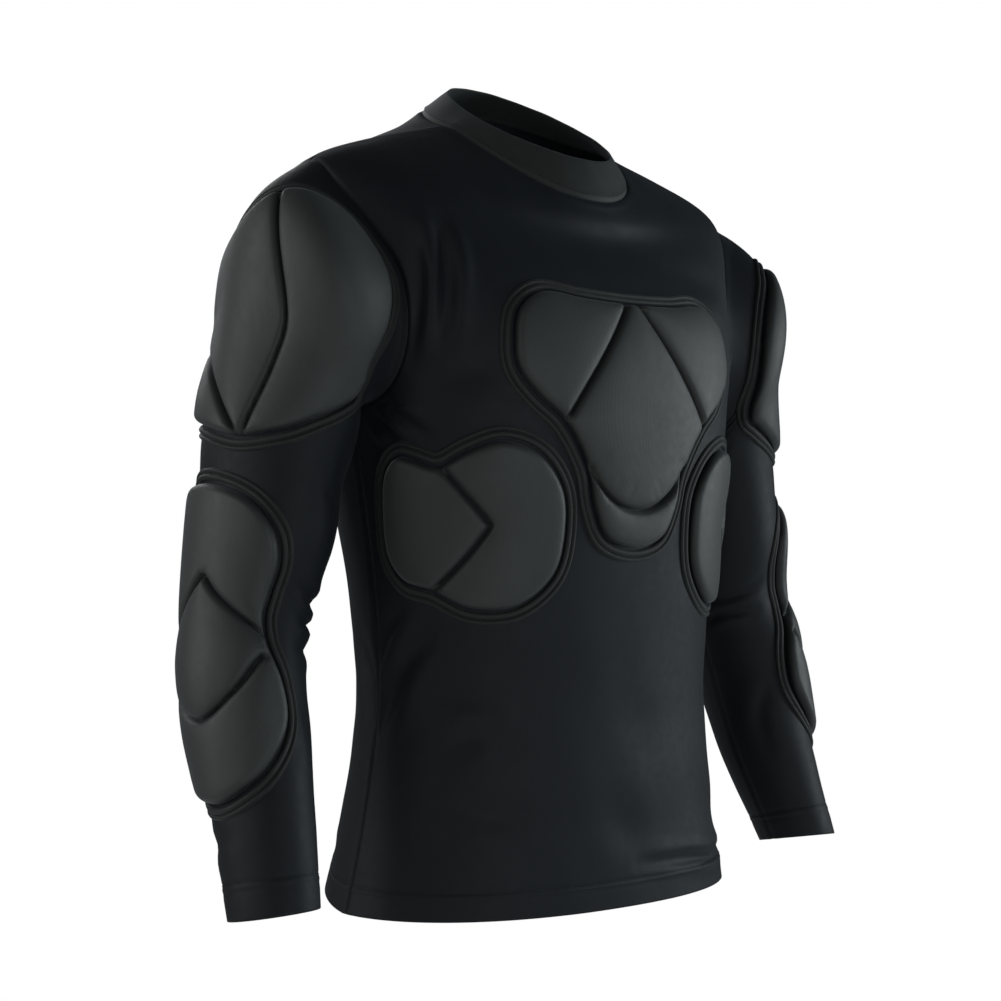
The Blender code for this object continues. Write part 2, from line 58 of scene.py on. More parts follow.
# The garment's rings, as in the part's source.
BODY = np.array([
    # share, side, half, middle, front, back, front_drop, back_drop, round, bend
    (0.00, -0.604, 0.184, -0.008, 0.119, 0.104, 0.000, -0.030, 0.90, 1.2),
    (0.12, -0.535, 0.170, -0.011, 0.113, 0.100, 0.000, -0.012, 0.90, 1.6),
    (0.26, -0.446, 0.158, -0.013, 0.109, 0.096, 0.000, 0.000, 0.88, 2.0),
    (0.40, -0.356, 0.159, -0.009, 0.118, 0.100, 0.000, 0.000, 0.82, 2.0),
    (0.50, -0.284, 0.166, -0.004, 0.128, 0.108, 0.000, 0.000, 0.78, 2.0),
    (0.60, -0.220, 0.174, 0.000, 0.136, 0.114, 0.000, 0.000, 0.76, 2.0),
    (0.74, -0.126, 0.191, 0.003, 0.130, 0.112, 0.022, 0.006, 0.82, 2.0),
    (0.88, -0.034, 0.206, 0.008, 0.104, 0.094, 0.052, 0.006, 1.00, 2.0),
    (0.95, -0.008, 0.140, 0.004, 0.099, 0.088, 0.062, -0.016, 1.00, 1.5),
    (1.00, 0.006, 0.081, -0.006, 0.085, 0.091, 0.061, -0.038, 1.00, 1.15),
])
HEM_LEVEL, UNDERARM_LEVEL = BODY[[0, 5], 1] / MM
UNDERARM, SHOULDER = 0.60, 0.88
ARMHOLE_MIDDLE, ARMHOLE_HALF = (SHOULDER + UNDERARM) / 2, (SHOULDER - UNDERARM) / 2
ARMHOLE_FRONT, ARMHOLE_BACK = 27.0, 25.0
SLEEVE = np.array([
    # share, x, y, z, tilt, lean, wide, deep
    (0.10, 0.222, -0.003, -0.152, 68, 0, 0.089, 0.068),
    (0.22, 0.226, 0.006, -0.205, 50, -4, 0.063, 0.065),
    (0.36, 0.239, 0.010, -0.262, 28, -6, 0.053, 0.060),
    (0.50, 0.247, 0.008, -0.319, 13, -4, 0.047, 0.056),
    (0.60, 0.258, 0.009, -0.374, 12, 8, 0.043, 0.046),
    (0.72, 0.268, -0.002, -0.429, 12, 18, 0.043, 0.046),
    (0.86, 0.271, -0.023, -0.500, 8, 18, 0.038, 0.042),
    (1.00, 0.281, -0.054, -0.586, -2, 10, 0.032, 0.034),
])
SLEEVE_GUIDE = (-0.07, 1.25)  # share and growth of the guide ring before the armhole
COLLAR = np.array([
    (0.0, 0.006, 0.081, -0.006, 0.085, 0.091, 0.061, -0.038, 1.0, 1.15),
    (1.0, 0.018, 0.063, -0.010, 0.072, 0.072, 0.040, -0.040, 1.0, 1.0),
])

# Pad outlines as (around, level or along), and the grooves pressed into the foam.
CHEST_HALF = ((0, -116), (48, -115), (84, -114), (106, -134), (113, -165), (111, -190), (96, -212),
              (73, -233), (50, -268), (42, -297), (29, -319), (0, -327))
CHEST_OUTLINE = CHEST_HALF + tuple((-a, level) for a, level in CHEST_HALF[-2:0:-1])
CHEST_GROOVES = (
    ((-73, -233), (-41, -180), (-5, -116)),
    ((73, -233), (41, -180), (5, -116)),
    ((-49, -266), (-38, -281), (-20, -294), (0, -298), (20, -294), (38, -281), (49, -266)),
)
RIB_OUTLINE = ((121, -248), (92, -258), (72, -283), (68, -313), (75, -346), (103, -370), (137, -372),
               (166, -359), (190, -352), (206, -334), (213, -300), (212, -270), (202, -259),
               (187, -262), (168, -267), (146, -256))
RIB_GROOVES = (((166, -266), (146, -287), (129, -306), (126, -310), (129, -315), (144, -336), (166, -360)),)
SHOULDER_LEFT = ((-20, 92), (4, 80), (24, 68), (46, 57), (73, 52), (104, 48), (131, 51), (148, 62),
                 (150, 84), (133, 111), (109, 140), (84, 172), (56, 203), (24, 221), (-18, 217), (-46, 207),
                 (-72, 186), (-86, 158), (-84, 130), (-66, 108), (-44, 98))
SHOULDER_RIGHT = ((-20, 80), (4, 66), (22, 53), (44, 38), (70, 24), (104, 20), (138, 23), (159, 38),
                  (165, 62), (152, 90), (133, 111), (109, 140), (84, 172), (56, 203), (24, 221),
                  (-18, 217), (-46, 207), (-72, 186), (-86, 156), (-84, 124), (-66, 99), (-44, 87))
SHOULDER_LEFT_GROOVES = (
    ((20, 70), (31, 88), (46, 122), (42, 154), (28, 220)),
    ((-84, 116), (-60, 133), (-40, 153), (-15, 177), (24, 220)),
)
SHOULDER_RIGHT_GROOVES = (
    ((20, 54), (31, 82), (46, 122), (42, 154), (28, 220)),
    ((-84, 116), (-60, 133), (-40, 153), (-15, 177), (24, 220)),
)
ELBOW_OUTLINE = ((-30, 273), (6, 267), (38, 275), (55, 297), (59, 322), (54, 352), (51, 377), (55, 407),
                 (65, 443), (64, 476), (50, 503), (32, 521), (6, 530), (-22, 521), (-40, 503),
                 (-52, 476), (-53, 443), (-43, 407), (-39, 377), (-42, 352), (-47, 322), (-45, 297))
ELBOW_GROOVES = (
    ((-38, 398), (-17, 369), (2, 345), (6, 340), (10, 345), (29, 369), (52, 400)),
    ((-38, 422), (-20, 452), (6, 468), (32, 452), (52, 422)),
)

# Soft folds in the cloth: the path of the trough, its width, its depth, and how much of the depth
# the cloth beside it rises. A negative depth is a ridge.
FRONT_FOLDS = (
    # path, width, depth, rise
    (((-152, -58), (-157, -104), (-166, -172)), 6.0, 5.6, 0.6),
    (((-178, -80), (-181, -132), (-192, -184)), 6.0, 4.2, 0.5),
    (((-222, -216), (-199, -232), (-176, -244)), 4.0, 3.6, 0.6),
    (((-230, -226), (-213, -239), (-196, -252)), 4.0, 3.2, 0.6),
    (((-236, -237), (-204, -252), (-172, -256)), 2.4, -1.6, 0.3),
    (((-206, -186), (-162, -198), (-122, -190)), 12.0, 2.6, 0.2),
    (((-160, -388), (-188, -414), (-207, -450), (-224, -478)), 9.0, 4.4, 0.5),
    (((-196, -372), (-211, -400), (-219, -440)), 7.0, 2.6, 0.4),
    (((-162, -486), (-127, -467), (-92, -487)), 9.0, 2.0, 0.4),
    (((-152, -516), (-113, -529), (-84, -526)), 9.0, 1.8, 0.4),
    (((-170, -431), (-134, -441), (-104, -456)), 9.0, 1.8, 0.3),
    (((10, -573), (63, -575), (136, -580), (186, -574)), 4.4, 3.2, 0.5),
    (((-40, -522), (14, -550), (60, -542)), 16.0, 1.1, 0.3),
    (((96, -520), (140, -548), (196, -552)), 14.0, 1.5, 0.4),
    (((152, -160), (164, -139), (176, -110)), 3.6, 2.4, 0.6),
    (((153, -171), (170, -150), (188, -126)), 3.6, 2.8, 0.6),
    (((155, -182), (176, -168), (194, -150)), 3.6, 2.4, 0.6),
    (((160, -400), (192, -436), (214, -482)), 9.0, 3.6, 0.4),
    (((60, -60), (110, -84), (150, -92)), 16.0, 1.8, 0.2),
    (((-30, -440), (10, -462), (70, -458)), 18.0, 0.8, 0.3),
)
BACK_FOLDS = (
    (((-150, -64), (-156, -110), (-168, -176)), 7.0, 4.2, 0.5),
    (((148, -60), (158, -112), (165, -170)), 7.0, 4.4, 0.5),
    (((-176, -92), (-180, -134), (-190, -180)), 6.0, 3.0, 0.5),
    (((176, -96), (183, -140), (189, -178)), 6.0, 2.6, 0.5),
    (((-216, -220), (-196, -236), (-168, -243)), 4.4, 3.2, 0.5),
    (((214, -222), (192, -238), (170, -248)), 4.4, 3.4, 0.5),
    (((-96, -418), (-30, -436), (44, -424)), 12.0, 3.4, 0.4),
    (((-150, -446), (-90, -462), (-18, -456)), 10.0, 3.0, 0.4),
    (((6, -470), (80, -478), (150, -458)), 10.0, 3.0, 0.4),
    (((-132, -500), (-60, -492), (10, -508)), 10.0, 2.2, 0.4),
    (((180, -384), (196, -424), (212, -470)), 9.0, 3.6, 0.4),
    (((-178, -390), (-200, -432), (-210, -474)), 9.0, 3.6, 0.4),
    (((-150, -574), (-70, -580), (0, -572)), 5.0, 2.4, 0.5),
    (((60, -560), (120, -572), (180, -566)), 6.0, 2.4, 0.4),
    (((-70, -70), (-40, -130), (-36, -200)), 18.0, 2.2, 0.3),
    (((80, -74), (52, -128), (40, -190)), 18.0, 2.2, 0.3),
)
RIGHT_SLEEVE_FOLDS = (
    (((74, 338), (106, 350), (146, 344)), 6.0, 3.0, 0.5),
    (((80, 372), (112, 368), (150, 378)), 5.0, 3.2, 0.5),
    (((84, 400), (112, 396), (146, 408)), 7.0, 2.2, 0.4),
    (((100, 222), (112, 262), (104, 312)), 9.0, 2.2, 0.4),
    (((150, 120), (170, 170), (176, 226)), 9.0, 3.0, 0.4),
    (((196, 60), (186, 104), (196, 150)), 7.0, 3.0, 0.5),
    (((-118, 60), (-128, 120), (-120, 190)), 9.0, 2.8, 0.4),
    (((-84, 330), (-110, 352), (-136, 346)), 7.0, 2.2, 0.4),
    (((84, 452), (96, 492), (90, 534)), 8.0, 1.8, 0.3),
    (((-66, 250), (-92, 262), (-120, 256)), 8.0, 2.0, 0.4),
    (((-70, 540), (-30, 552), (20, 548)), 6.0, 1.4, 0.4),
)
LEFT_SLEEVE_FOLDS = (
    (((72, 344), (108, 356), (148, 348)), 6.0, 2.8, 0.5),
    (((84, 378), (116, 372), (148, 384)), 5.0, 3.0, 0.5),
    (((158, 40), (172, 62), (190, 76)), 4.0, 2.6, 0.6),
    (((154, 54), (168, 78), (188, 94)), 4.0, 2.8, 0.6),
    (((14, 14), (40, 30), (84, 34)), 9.0, 2.2, 0.5),
    (((-60, 22), (-34, 44), (-30, 70)), 9.0, 2.4, 0.5),
    (((146, 128), (168, 176), (174, 232)), 9.0, 2.8, 0.4),
    (((-122, 70), (-130, 126), (-118, 200)), 9.0, 2.8, 0.4),
    (((-86, 322), (-108, 346), (-138, 338)), 7.0, 2.4, 0.4),
    (((86, 460), (98, 500), (88, 540)), 8.0, 1.6, 0.3),
    (((-64, 242), (-92, 252), (-118, 244)), 8.0, 1.8, 0.4),
)
PAD_KINDS = {
    # foam thickness, crown in the middle
    "chest": (7.6, 1.6),
    "rib": (6.8, 1.4),
    "shoulder": (7.4, 1.8),
    "elbow": (8.6, 1.6),
}
FOAM_EDGE_RINGS = (0.2, 0.6, 1.4, 2.8, 4.8)  # distances in from the outline where the edge rounds
FOAM_EDGE_RADIUS = 5.6
GROOVE_RINGS = (1.1, 2.4, 4.4)
GROOVE_DEPTH, GROOVE_WIDTH = 5.2, 1.9
BORDER_SECTION = np.array([
    # out from the pad's outline, height
    (2.2, 0.1), (2.5, 1.2), (3.2, 2.2), (4.4, 2.8), (5.7, 2.6), (6.8, 1.7), (7.4, 0.7),
    (8.0, 1.4), (8.8, 2.1), (9.7, 2.2), (10.6, 1.7), (11.3, 0.8), (11.5, 0.1), (6.8, 0.0),
])
BORDER_VALLEY = 7.4
BORDER_STEP = 2.6
BORDER_TOP = 2.7
SWELL_STEPS, SWELL_PRESSURE, SWELL_REACH = 20, 4.0, 2.0


# Shape helpers

def unit(vectors):
    return vectors / np.linalg.norm(vectors, axis=-1, keepdims=True)


def eased(share):
    """0 to 1 with a soft start and end."""
    return share * share * (3 - 2 * share)


def run_along(points):
    """Distance along a line at each of its points."""
    return np.concatenate([[0], np.cumsum(np.linalg.norm(np.diff(points, axis=0), axis=1))])


def curve_terms(rows, knots, at):
    """Where each place falls between the knots, and the cubic's weights there."""
    i = np.clip(np.searchsorted(knots, at) - 1, 0, len(knots) - 2)
    span = knots[i + 1] - knots[i]
    u = (at - knots[i]) / span
    weights = (2 * u**3 - 3 * u**2 + 1, 3 * u**2 - 2 * u**3,
               (u**3 - 2 * u**2 + u) * span, (u**3 - u**2) * span)
    rise = np.diff(knots).reshape((-1,) + (1,) * (rows.ndim - 1))
    slope = np.diff(rows, axis=0) / rise
    tangent = np.empty_like(rows)
    tangent[1:-1] = (slope[:-1] * rise[1:] + slope[1:] * rise[:-1]) / (rise[:-1] + rise[1:])
    tangent[0], tangent[-1] = slope[0], slope[-1]
    return i, weights, tangent


def read_curve(rows, knots, at):
    """Rows of numbers given at knots, read at other places by a smooth cubic through them."""
    i, weights, tangent = curve_terms(rows, knots, at)
    a, b, c, d = (w.reshape(at.shape + (1,) * (rows.ndim - 1)) for w in weights)
    return a * rows[i] + b * rows[i + 1] + c * tangent[i] + d * tangent[i + 1]


def read_lines(rows, knots, at):
    """The same, where every place in at has a line of its own: rows are (knots, places, 3)."""
    i, weights, tangent = curve_terms(rows, knots, at)
    a, b, c, d = (w[:, None] for w in weights)
    n = np.arange(len(at))
    return a * rows[i, n] + b * rows[i + 1, n] + c * tangent[i, n] + d * tangent[i + 1, n]


def ring_point(rings, angle, share):
    angle, share = np.broadcast_arrays(angle, share)
    columns = read_curve(rings[:, 1:], rings[:, 0], share.ravel()).reshape(share.shape + (9,))
    side, half, middle, front, back, front_drop, back_drop, power, bend = np.moveaxis(columns, -1, 0)
    s, c = np.sin(angle), np.cos(angle)
    x = half * np.sign(s) * np.abs(s) ** power
    y = middle - np.where(c > 0, front, back) * np.sign(c) * np.abs(c) ** power
    return np.stack([x, y, side - np.where(c > 0, front_drop, back_drop) * np.abs(c) ** bend], -1)


def body_point(angle, share):
    return ring_point(BODY, angle, share)


def back_point(angle, share):
    """The body's rings, with angle 0 at the centre back."""
    return ring_point(BODY, np.asarray(angle) + math.pi, share)


def collar_point(angle, share):
    return ring_point(COLLAR, angle, share)


def armhole(turn, grow=1.0):
    """(angle, share) on the left armhole, or on the same curve grown about its middle."""
    cut = np.where(np.sin(turn) > 0, math.radians(ARMHOLE_FRONT), math.radians(ARMHOLE_BACK))
    return math.pi / 2 - grow * cut * np.sin(turn), ARMHOLE_MIDDLE + grow * ARMHOLE_HALF * np.cos(turn)


def sleeve_point(turn, share):
    turn, share = np.broadcast_arrays(turn, share)
    flat, at = turn.ravel(), share.ravel()
    rings = [body_point(*armhole(flat, SLEEVE_GUIDE[1])), body_point(*armhole(flat))]
    for _, x, y, z, tilt, lean, wide, deep in SLEEVE:
        tilt, lean = math.radians(tilt), math.radians(lean)
        outwards = np.array([math.cos(tilt), 0, math.sin(tilt)])
        forwards = np.array([0, -math.cos(lean), math.sin(lean)])
        rings.append(np.array([x, y, z]) + wide * np.cos(flat)[:, None] * outwards
                     + deep * np.sin(flat)[:, None] * forwards)
    knots = np.concatenate([[SLEEVE_GUIDE[0], 0.0], SLEEVE[:, 0]])
    return read_lines(np.array(rings), knots, at).reshape(turn.shape + (3,))


def outward(point, a, b, step_a=0.01, step_b=0.004):
    across = point(a + step_a, b) - point(a - step_a, b)
    up = point(a, b + step_b) - point(a, b - step_b)
    return unit(np.cross(across, up))


def body_share(level):
    shares = np.linspace(0, 1, 401)
    return np.interp(level * MM, read_curve(BODY[:, 1:2], BODY[:, 0], shares)[:, 0], shares)


def sleeve_share(along):
    return np.asarray(along) / SLEEVE_LENGTH


class Skin:
    """A cloth surface read by distances in millimetres: round it, and up or down it."""

    COLUMNS, ROWS = 180, 160

    def __init__(self, point, share_of, relief):
        self.point, self.share_of, self.relief = point, share_of, relief
        self.angles = np.linspace(-math.pi, math.pi, self.COLUMNS + 1)
        shares = np.linspace(0, 1, self.ROWS + 1)
        rings = point(self.angles[None, :], shares[:, None])
        run = np.cumsum(np.linalg.norm(np.diff(rings, axis=1), axis=-1), axis=1) / MM
        run = np.concatenate([np.zeros((len(run), 1)), run], axis=1)
        self.run = run - run[:, [self.COLUMNS // 2]]

    def angle(self, around, share):
        """The angle at which a distance round the ring is reached."""
        place = np.clip(share, 0, 1) * self.ROWS
        row = np.minimum(place.astype(int), self.ROWS - 1)
        part = (place - row)[:, None]
        run = self.run[row] * (1 - part) + self.run[row + 1] * part
        column = np.clip((run < around[:, None]).sum(axis=1) - 1, 0, self.COLUMNS - 1)
        n = np.arange(len(around))
        low, high = run[n, column], run[n, column + 1]
        return self.angles[column] + (around - low) / (high - low) * (self.angles[1] - self.angles[0])

    def smooth(self, around, level, lift):
        """Points over the cloth's form without its folds."""
        share = self.share_of(level)
        angle = self.angle(around, share)
        return self.point(angle, share) + (lift * MM)[:, None] * outward(self.point, angle, share)

    def cloth(self, around, level, lift):
        """Points over the cloth as it lies, with its folds."""
        return self.smooth(around, level, lift + self.relief(around, level))


def segment_distance(points, start, end):
    run = end - start
    along = np.clip((points - start) @ run / (run @ run), 0, 1)
    return np.linalg.norm(points - start - along[..., None] * run, axis=-1), along


def path_distance(points, paths):
    nearest = np.full(len(points), 1e9)
    for path in paths:
        for start, end in zip(path[:-1], path[1:]):
            nearest = np.minimum(nearest, segment_distance(points, start, end)[0])
    return nearest


def inside_outline(points, outline):
    inside = np.zeros(len(points), bool)
    for (x, y), (x2, y2) in zip(outline, np.roll(outline, -1, axis=0)):
        if y == y2:
            continue
        crosses = (y > points[:, 1]) != (y2 > points[:, 1])
        inside ^= crosses & (points[:, 0] < (x2 - x) * (points[:, 1] - y) / (y2 - y) + x)
    return inside


def smooth_outline(corners, step):
    """A closed smooth curve through the corners, anticlockwise, with points about a step apart."""
    corners = np.array(corners, float)
    loop = np.concatenate([corners[-2:], corners, corners[:3]])
    chord = np.concatenate([[0], np.cumsum(np.linalg.norm(np.diff(loop, axis=0), axis=1) ** 0.5)])
    fine = read_curve(loop, chord, np.linspace(chord[2], chord[-3], 1441))
    length = run_along(fine)
    count = round(length[-1] / step)
    at = np.arange(count) * length[-1] / count
    outline = np.stack([np.interp(at, length, fine[:, k]) for k in (0, 1)], -1)
    after = np.roll(outline, -1, axis=0)
    area = np.sum(outline[:, 0] * after[:, 1] - after[:, 0] * outline[:, 1])
    return outline if area > 0 else outline[::-1]


def smooth_line(corners, step):
    corners = np.array(corners, float)
    chord = run_along(corners)
    count = max(2, round(chord[-1] / step))
    return read_curve(corners, chord, np.linspace(0, chord[-1], count + 1))


def closed(outline):
    return np.concatenate([outline, outline[:1]])


def moved_sideways(skin, outline, distance, loop=True):
    """A line on the cloth moved to its right by a true distance, in short steps."""
    steps = max(1, math.ceil(abs(distance) / 3.0))
    flat = np.zeros(len(outline))
    for _ in range(steps):
        x, y = outline.T
        by_x = (skin.smooth(x + 1, y, flat) - skin.smooth(x - 1, y, flat)) / (2 * MM)
        by_y = (skin.smooth(x, y + 1, flat) - skin.smooth(x, y - 1, flat)) / (2 * MM)
        xx, xy, yy = (by_x * by_x).sum(1), (by_x * by_y).sum(1), (by_y * by_y).sum(1)
        if loop:
            run = np.roll(outline, -1, axis=0) - np.roll(outline, 1, axis=0)
        else:
            run = np.gradient(outline, axis=0)
        across = np.stack([yy * run[:, 1] + xy * run[:, 0], -xy * run[:, 1] - xx * run[:, 0]], -1)
        a, b = across.T
        length = np.sqrt(xx * a**2 + 2 * xy * a * b + yy * b**2)
        outline = outline + across / length[:, None] * (distance / steps)
    return outline


# Folds and the cloth's unevenness

def fold_relief(folds, around, level):
    """Height in millimetres that soft folds give the cloth."""
    place = np.stack([around, level], -1)
    relief = np.zeros(len(around))
    for path, width, depth, rise in folds:
        line = smooth_line(path, 12.0)
        reach = np.abs(place - line.mean(0)).max(axis=1) < np.ptp(line, axis=0).max() / 2 + 6 * width
        nearest, along = np.full(reach.sum(), 1e9), np.zeros(reach.sum())
        for k, (start, end) in enumerate(zip(line[:-1], line[1:])):
            distance, part = segment_distance(place[reach], start, end)
            closer = distance < nearest
            nearest = np.where(closer, distance, nearest)
            along = np.where(closer, (k + part) / (len(line) - 1), along)
        swell = np.sin(math.pi * np.clip(along, 0.02, 0.98)) ** 0.7
        trough = np.exp(-(nearest / width) ** 2)
        beside = np.exp(-((nearest - 2.1 * width) / (1.1 * width)) ** 2)
        relief[reach] += depth * swell * (rise * beside - trough)
    return relief


def unevenness(around, level, seed):
    """Slow small waves that keep the cloth from lying perfectly smooth."""
    rng = np.random.default_rng(seed)
    waves = np.zeros(len(around))
    for _ in range(9):
        length = rng.uniform(45, 120)
        heading = rng.uniform(0, math.pi)
        phase = rng.uniform(0, 2 * math.pi)
        ahead = around * math.cos(heading) + level * math.sin(heading)
        waves += np.sin(ahead * 2 * math.pi / length + phase)
    return waves * 0.09


def clear_of_pads(around, level, outlines):
    """0 under the pads and their borders, rising to 1 away from them."""
    place = np.stack([around, level], -1)
    clear = np.ones(len(place))
    for outline in outlines:
        away = path_distance(place, [closed(outline)])
        away[inside_outline(place, outline)] = 0
        clear = np.minimum(clear, np.clip((away - 11.0) / 12.0, 0, 1))
    return eased(clear)


def hem_relief(from_edge, height):
    """The turned hem is a little thicker, and its stitching pulls a shallow furrow."""
    inside = 1 / (1 + np.exp((from_edge - height) / 0.7))
    furrow = np.exp(-((from_edge - height) / 1.5) ** 2)
    furrow = furrow + 0.7 * np.exp(-((from_edge - height + 4.5) / 1.3) ** 2)
    return 0.45 * inside - 0.45 * furrow


def stiffened(from_edge, reach):
    """Folds ease off in the stiffer hem or cuff."""
    return 0.35 + 0.65 * np.clip(from_edge / reach, 0, 1)


def panel_relief(folds, seed, pads):
    """A function that gives the front's or back's height over its plain form."""
    def relief(around, level):
        soft = fold_relief(folds, around, level) + unevenness(around, level, seed)
        soft = soft * clear_of_pads(around, level, pads) * stiffened(level - HEM_LEVEL, 34.0)
        return soft + hem_relief(level - HEM_LEVEL, HEM_HEIGHT)

    return relief


def sleeve_relief(folds, seed):
    """A function that gives one sleeve's height over its plain form."""
    pads = [smooth_outline(outline, 8.0) for outline in (SHOULDER_LEFT, SHOULDER_RIGHT, ELBOW_OUTLINE)]

    def relief(around, along):
        soft = fold_relief(folds, around, along) + unevenness(around, along, seed)
        soft = soft * clear_of_pads(around, along, pads) * np.clip(along / 24.0, 0, 1)
        from_cuff = (SLEEVE_LENGTH - along) * CUFF_SCALE
        return soft * stiffened(from_cuff, 30.0) + hem_relief(from_cuff, CUFF_HEIGHT)

    return relief


RIB_PAD = smooth_outline(RIB_OUTLINE, 8.0)
FRONT_PADS = (smooth_outline(CHEST_OUTLINE, 8.0), RIB_PAD, RIB_PAD * np.array([-1, 1]))
FRONT = Skin(body_point, body_share, panel_relief(FRONT_FOLDS, 11, FRONT_PADS))
BACK = Skin(back_point, body_share, panel_relief(BACK_FOLDS, 12, ()))
ARMS = {"left": Skin(sleeve_point, sleeve_share, sleeve_relief(LEFT_SLEEVE_FOLDS, 13)),
        "right": Skin(sleeve_point, sleeve_share, sleeve_relief(RIGHT_SLEEVE_FOLDS, 14))}


# Meshes

def add_piece(name, points, faces, material, slot, place=None, relief=None):
    """A mesh object with its cloth distances and relief kept for its finish."""
    mesh = bpy.data.meshes.new(name)
    mesh.from_pydata(np.asarray(points).tolist(), [], faces)
    if place is not None:
        layer = mesh.attributes.new("cloth_place", "FLOAT_VECTOR", "POINT")
        flat = np.zeros((len(points), 3), np.float32)
        flat[:, :2] = place
        layer.data.foreach_set("vector", flat.ravel())
    if relief is not None:
        layer = mesh.attributes.new("relief", "FLOAT", "POINT")
        layer.data.foreach_set("value", np.asarray(relief, np.float32))
    mesh.materials.append(material)
    mesh.shade_smooth()
    piece = bpy.data.objects.new(name, mesh)
    bpy.context.scene.collection.objects.link(piece)
    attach(piece, "root")
    return piece


def mirror_over(*made):
    """Moves pieces to the garment's right side."""
    for piece in made:
        piece.data.transform(Matrix.Scale(-1, 4, (1, 0, 0)))
        piece.data.flip_normals()


def grid_faces(rows, columns, ring):
    r, c = np.meshgrid(np.arange(rows - 1), np.arange(columns if ring else columns - 1), indexing="ij")
    n = (c + 1) % columns
    quads = np.stack([r * columns + c, r * columns + n, (r + 1) * columns + n, (r + 1) * columns + c], -1)
    return quads.reshape(-1, 4).tolist()


def cloth_shell(name, outer, inner, ring, rounded, material, slot, place):
    """A sheet with two faces. The rounded edges, low or high, are turned edges and bulge a little."""
    rows, columns = outer.shape[:2]
    points = [outer.reshape(-1, 3), inner.reshape(-1, 3)]
    below = rows * columns
    faces = grid_faces(rows, columns, ring)
    faces += [tuple(below + v for v in reversed(face)) for face in faces]
    count = 2 * below
    places = [place.reshape(-1, 2)] * 2
    for edge, row, inside in (("low", 0, 1), ("high", rows - 1, rows - 2)):
        top = [row * columns + c for c in range(columns)] + ([row * columns] if ring else [])
        if edge == "high":
            top = top[::-1]
        if edge in rounded:
            out = unit(outer[row] - outer[inside])
            thick = np.linalg.norm(outer[row] - inner[row], axis=-1, keepdims=True)
            points.append((outer[row] + inner[row]) / 2 + out * thick * 0.5)
            places.append(place[row])
            middle = [count + v - row * columns for v in top]
            count += columns
            strips = list(zip(top[:-1], middle[:-1], middle[1:], top[1:]))
            faces += strips
            faces += [(m, below + a, below + b, n) for a, m, n, b in strips]
        else:
            faces += [(a, below + a, below + b, b) for a, b in zip(top[:-1], top[1:])]
    if not ring:
        for column, flip in ((0, True), (columns - 1, False)):
            line = [r * columns + column for r in range(rows)]
            line = line[::-1] if flip else line
            faces += [(a, below + a, below + b, b) for a, b in zip(line[:-1], line[1:])]
    return add_piece(name, np.concatenate(points), faces, material, slot, np.concatenate(places))


def spaced(start, *stretches):
    """Places from start on, in stretches of (end, count), without repeats."""
    at = [start]
    for end, count in stretches:
        at += list(np.linspace(at[-1], end, count + 1)[1:])
    return np.array(at)


# The cloth

PANEL_EDGE_RUN = np.array([0, 0.6, 1.3, 2.2, 3.4, 5.0, 7.0])
ARMHOLE_TURNS = 64


def seam_dip(distance):
    """The cloth turns in at a seam and swells a little beside it, over its allowance."""
    return 0.35 * np.exp(-((distance - 4.5) / 2.5) ** 2) - 0.9 * np.exp(-(distance / 1.6) ** 2)


def seam_ease(distance):
    """0 at a seam, where two pieces share their points, and 1 away from it."""
    return eased(np.clip(distance / 6.0, 0, 1))


def panel_edge(share, cut):
    """The angle of a panel's edge: the side seam, cut in at the armhole."""
    inside = np.clip(1 - ((share - ARMHOLE_MIDDLE) / ARMHOLE_HALF) ** 2, 0, 1)
    return math.pi / 2 - math.radians(cut) * np.sqrt(inside)


def neck_normal(angle):
    """The direction in which the neck's edge is moved, shared by the panels and the collar."""
    on_body = outward(body_point, angle, np.ones_like(angle))
    return unit(on_body + outward(collar_point, angle, np.zeros_like(angle)))


def panel_shares():
    above_hem = spaced(0.0, (3.0, 3), (16.0, 6), (25.0, 12), (UNDERARM_LEVEL - HEM_LEVEL - 4.0, 102))
    below = body_share(HEM_LEVEL + above_hem)
    over_armhole = armhole(np.linspace(math.pi, 0, ARMHOLE_TURNS + 1))[1]
    return np.concatenate([below, over_armhole, np.linspace(SHOULDER, 1, 31)[1:]])


def ring_distance(skin, angle, share):
    """Distance round the ring at which an angle lies."""
    column = (angle + math.pi) / (skin.angles[1] - skin.angles[0])
    low = np.clip(column.astype(int), 0, skin.COLUMNS - 1)
    row = np.clip(share * skin.ROWS, 0, skin.ROWS)
    under = np.minimum(row.astype(int), skin.ROWS - 1)
    part, side = row - under, column - low
    below = skin.run[under, low] * (1 - side) + skin.run[under, low + 1] * side
    above = skin.run[under + 1, low] * (1 - side) + skin.run[under + 1, low + 1] * side
    return below * (1 - part) + above * part


def seam_lines(grid):
    """A panel's left, right and top edges as lines in millimetres."""
    return [grid[:, 0] / MM, grid[:, -1] / MM, grid[-1] / MM]


def two_faces(skin, points, normal, around, down, seam, hem):
    """The cloth's outer and inner points, with its folds, its hem and the dips along its seams."""
    soft = skin.relief(around.ravel(), down.ravel()).reshape(around.shape) - hem
    height = soft * seam_ease(seam) + hem + seam_dip(seam)
    outer = points + height[..., None] * MM * normal
    return outer, outer - JERSEY_WALL * MM * normal


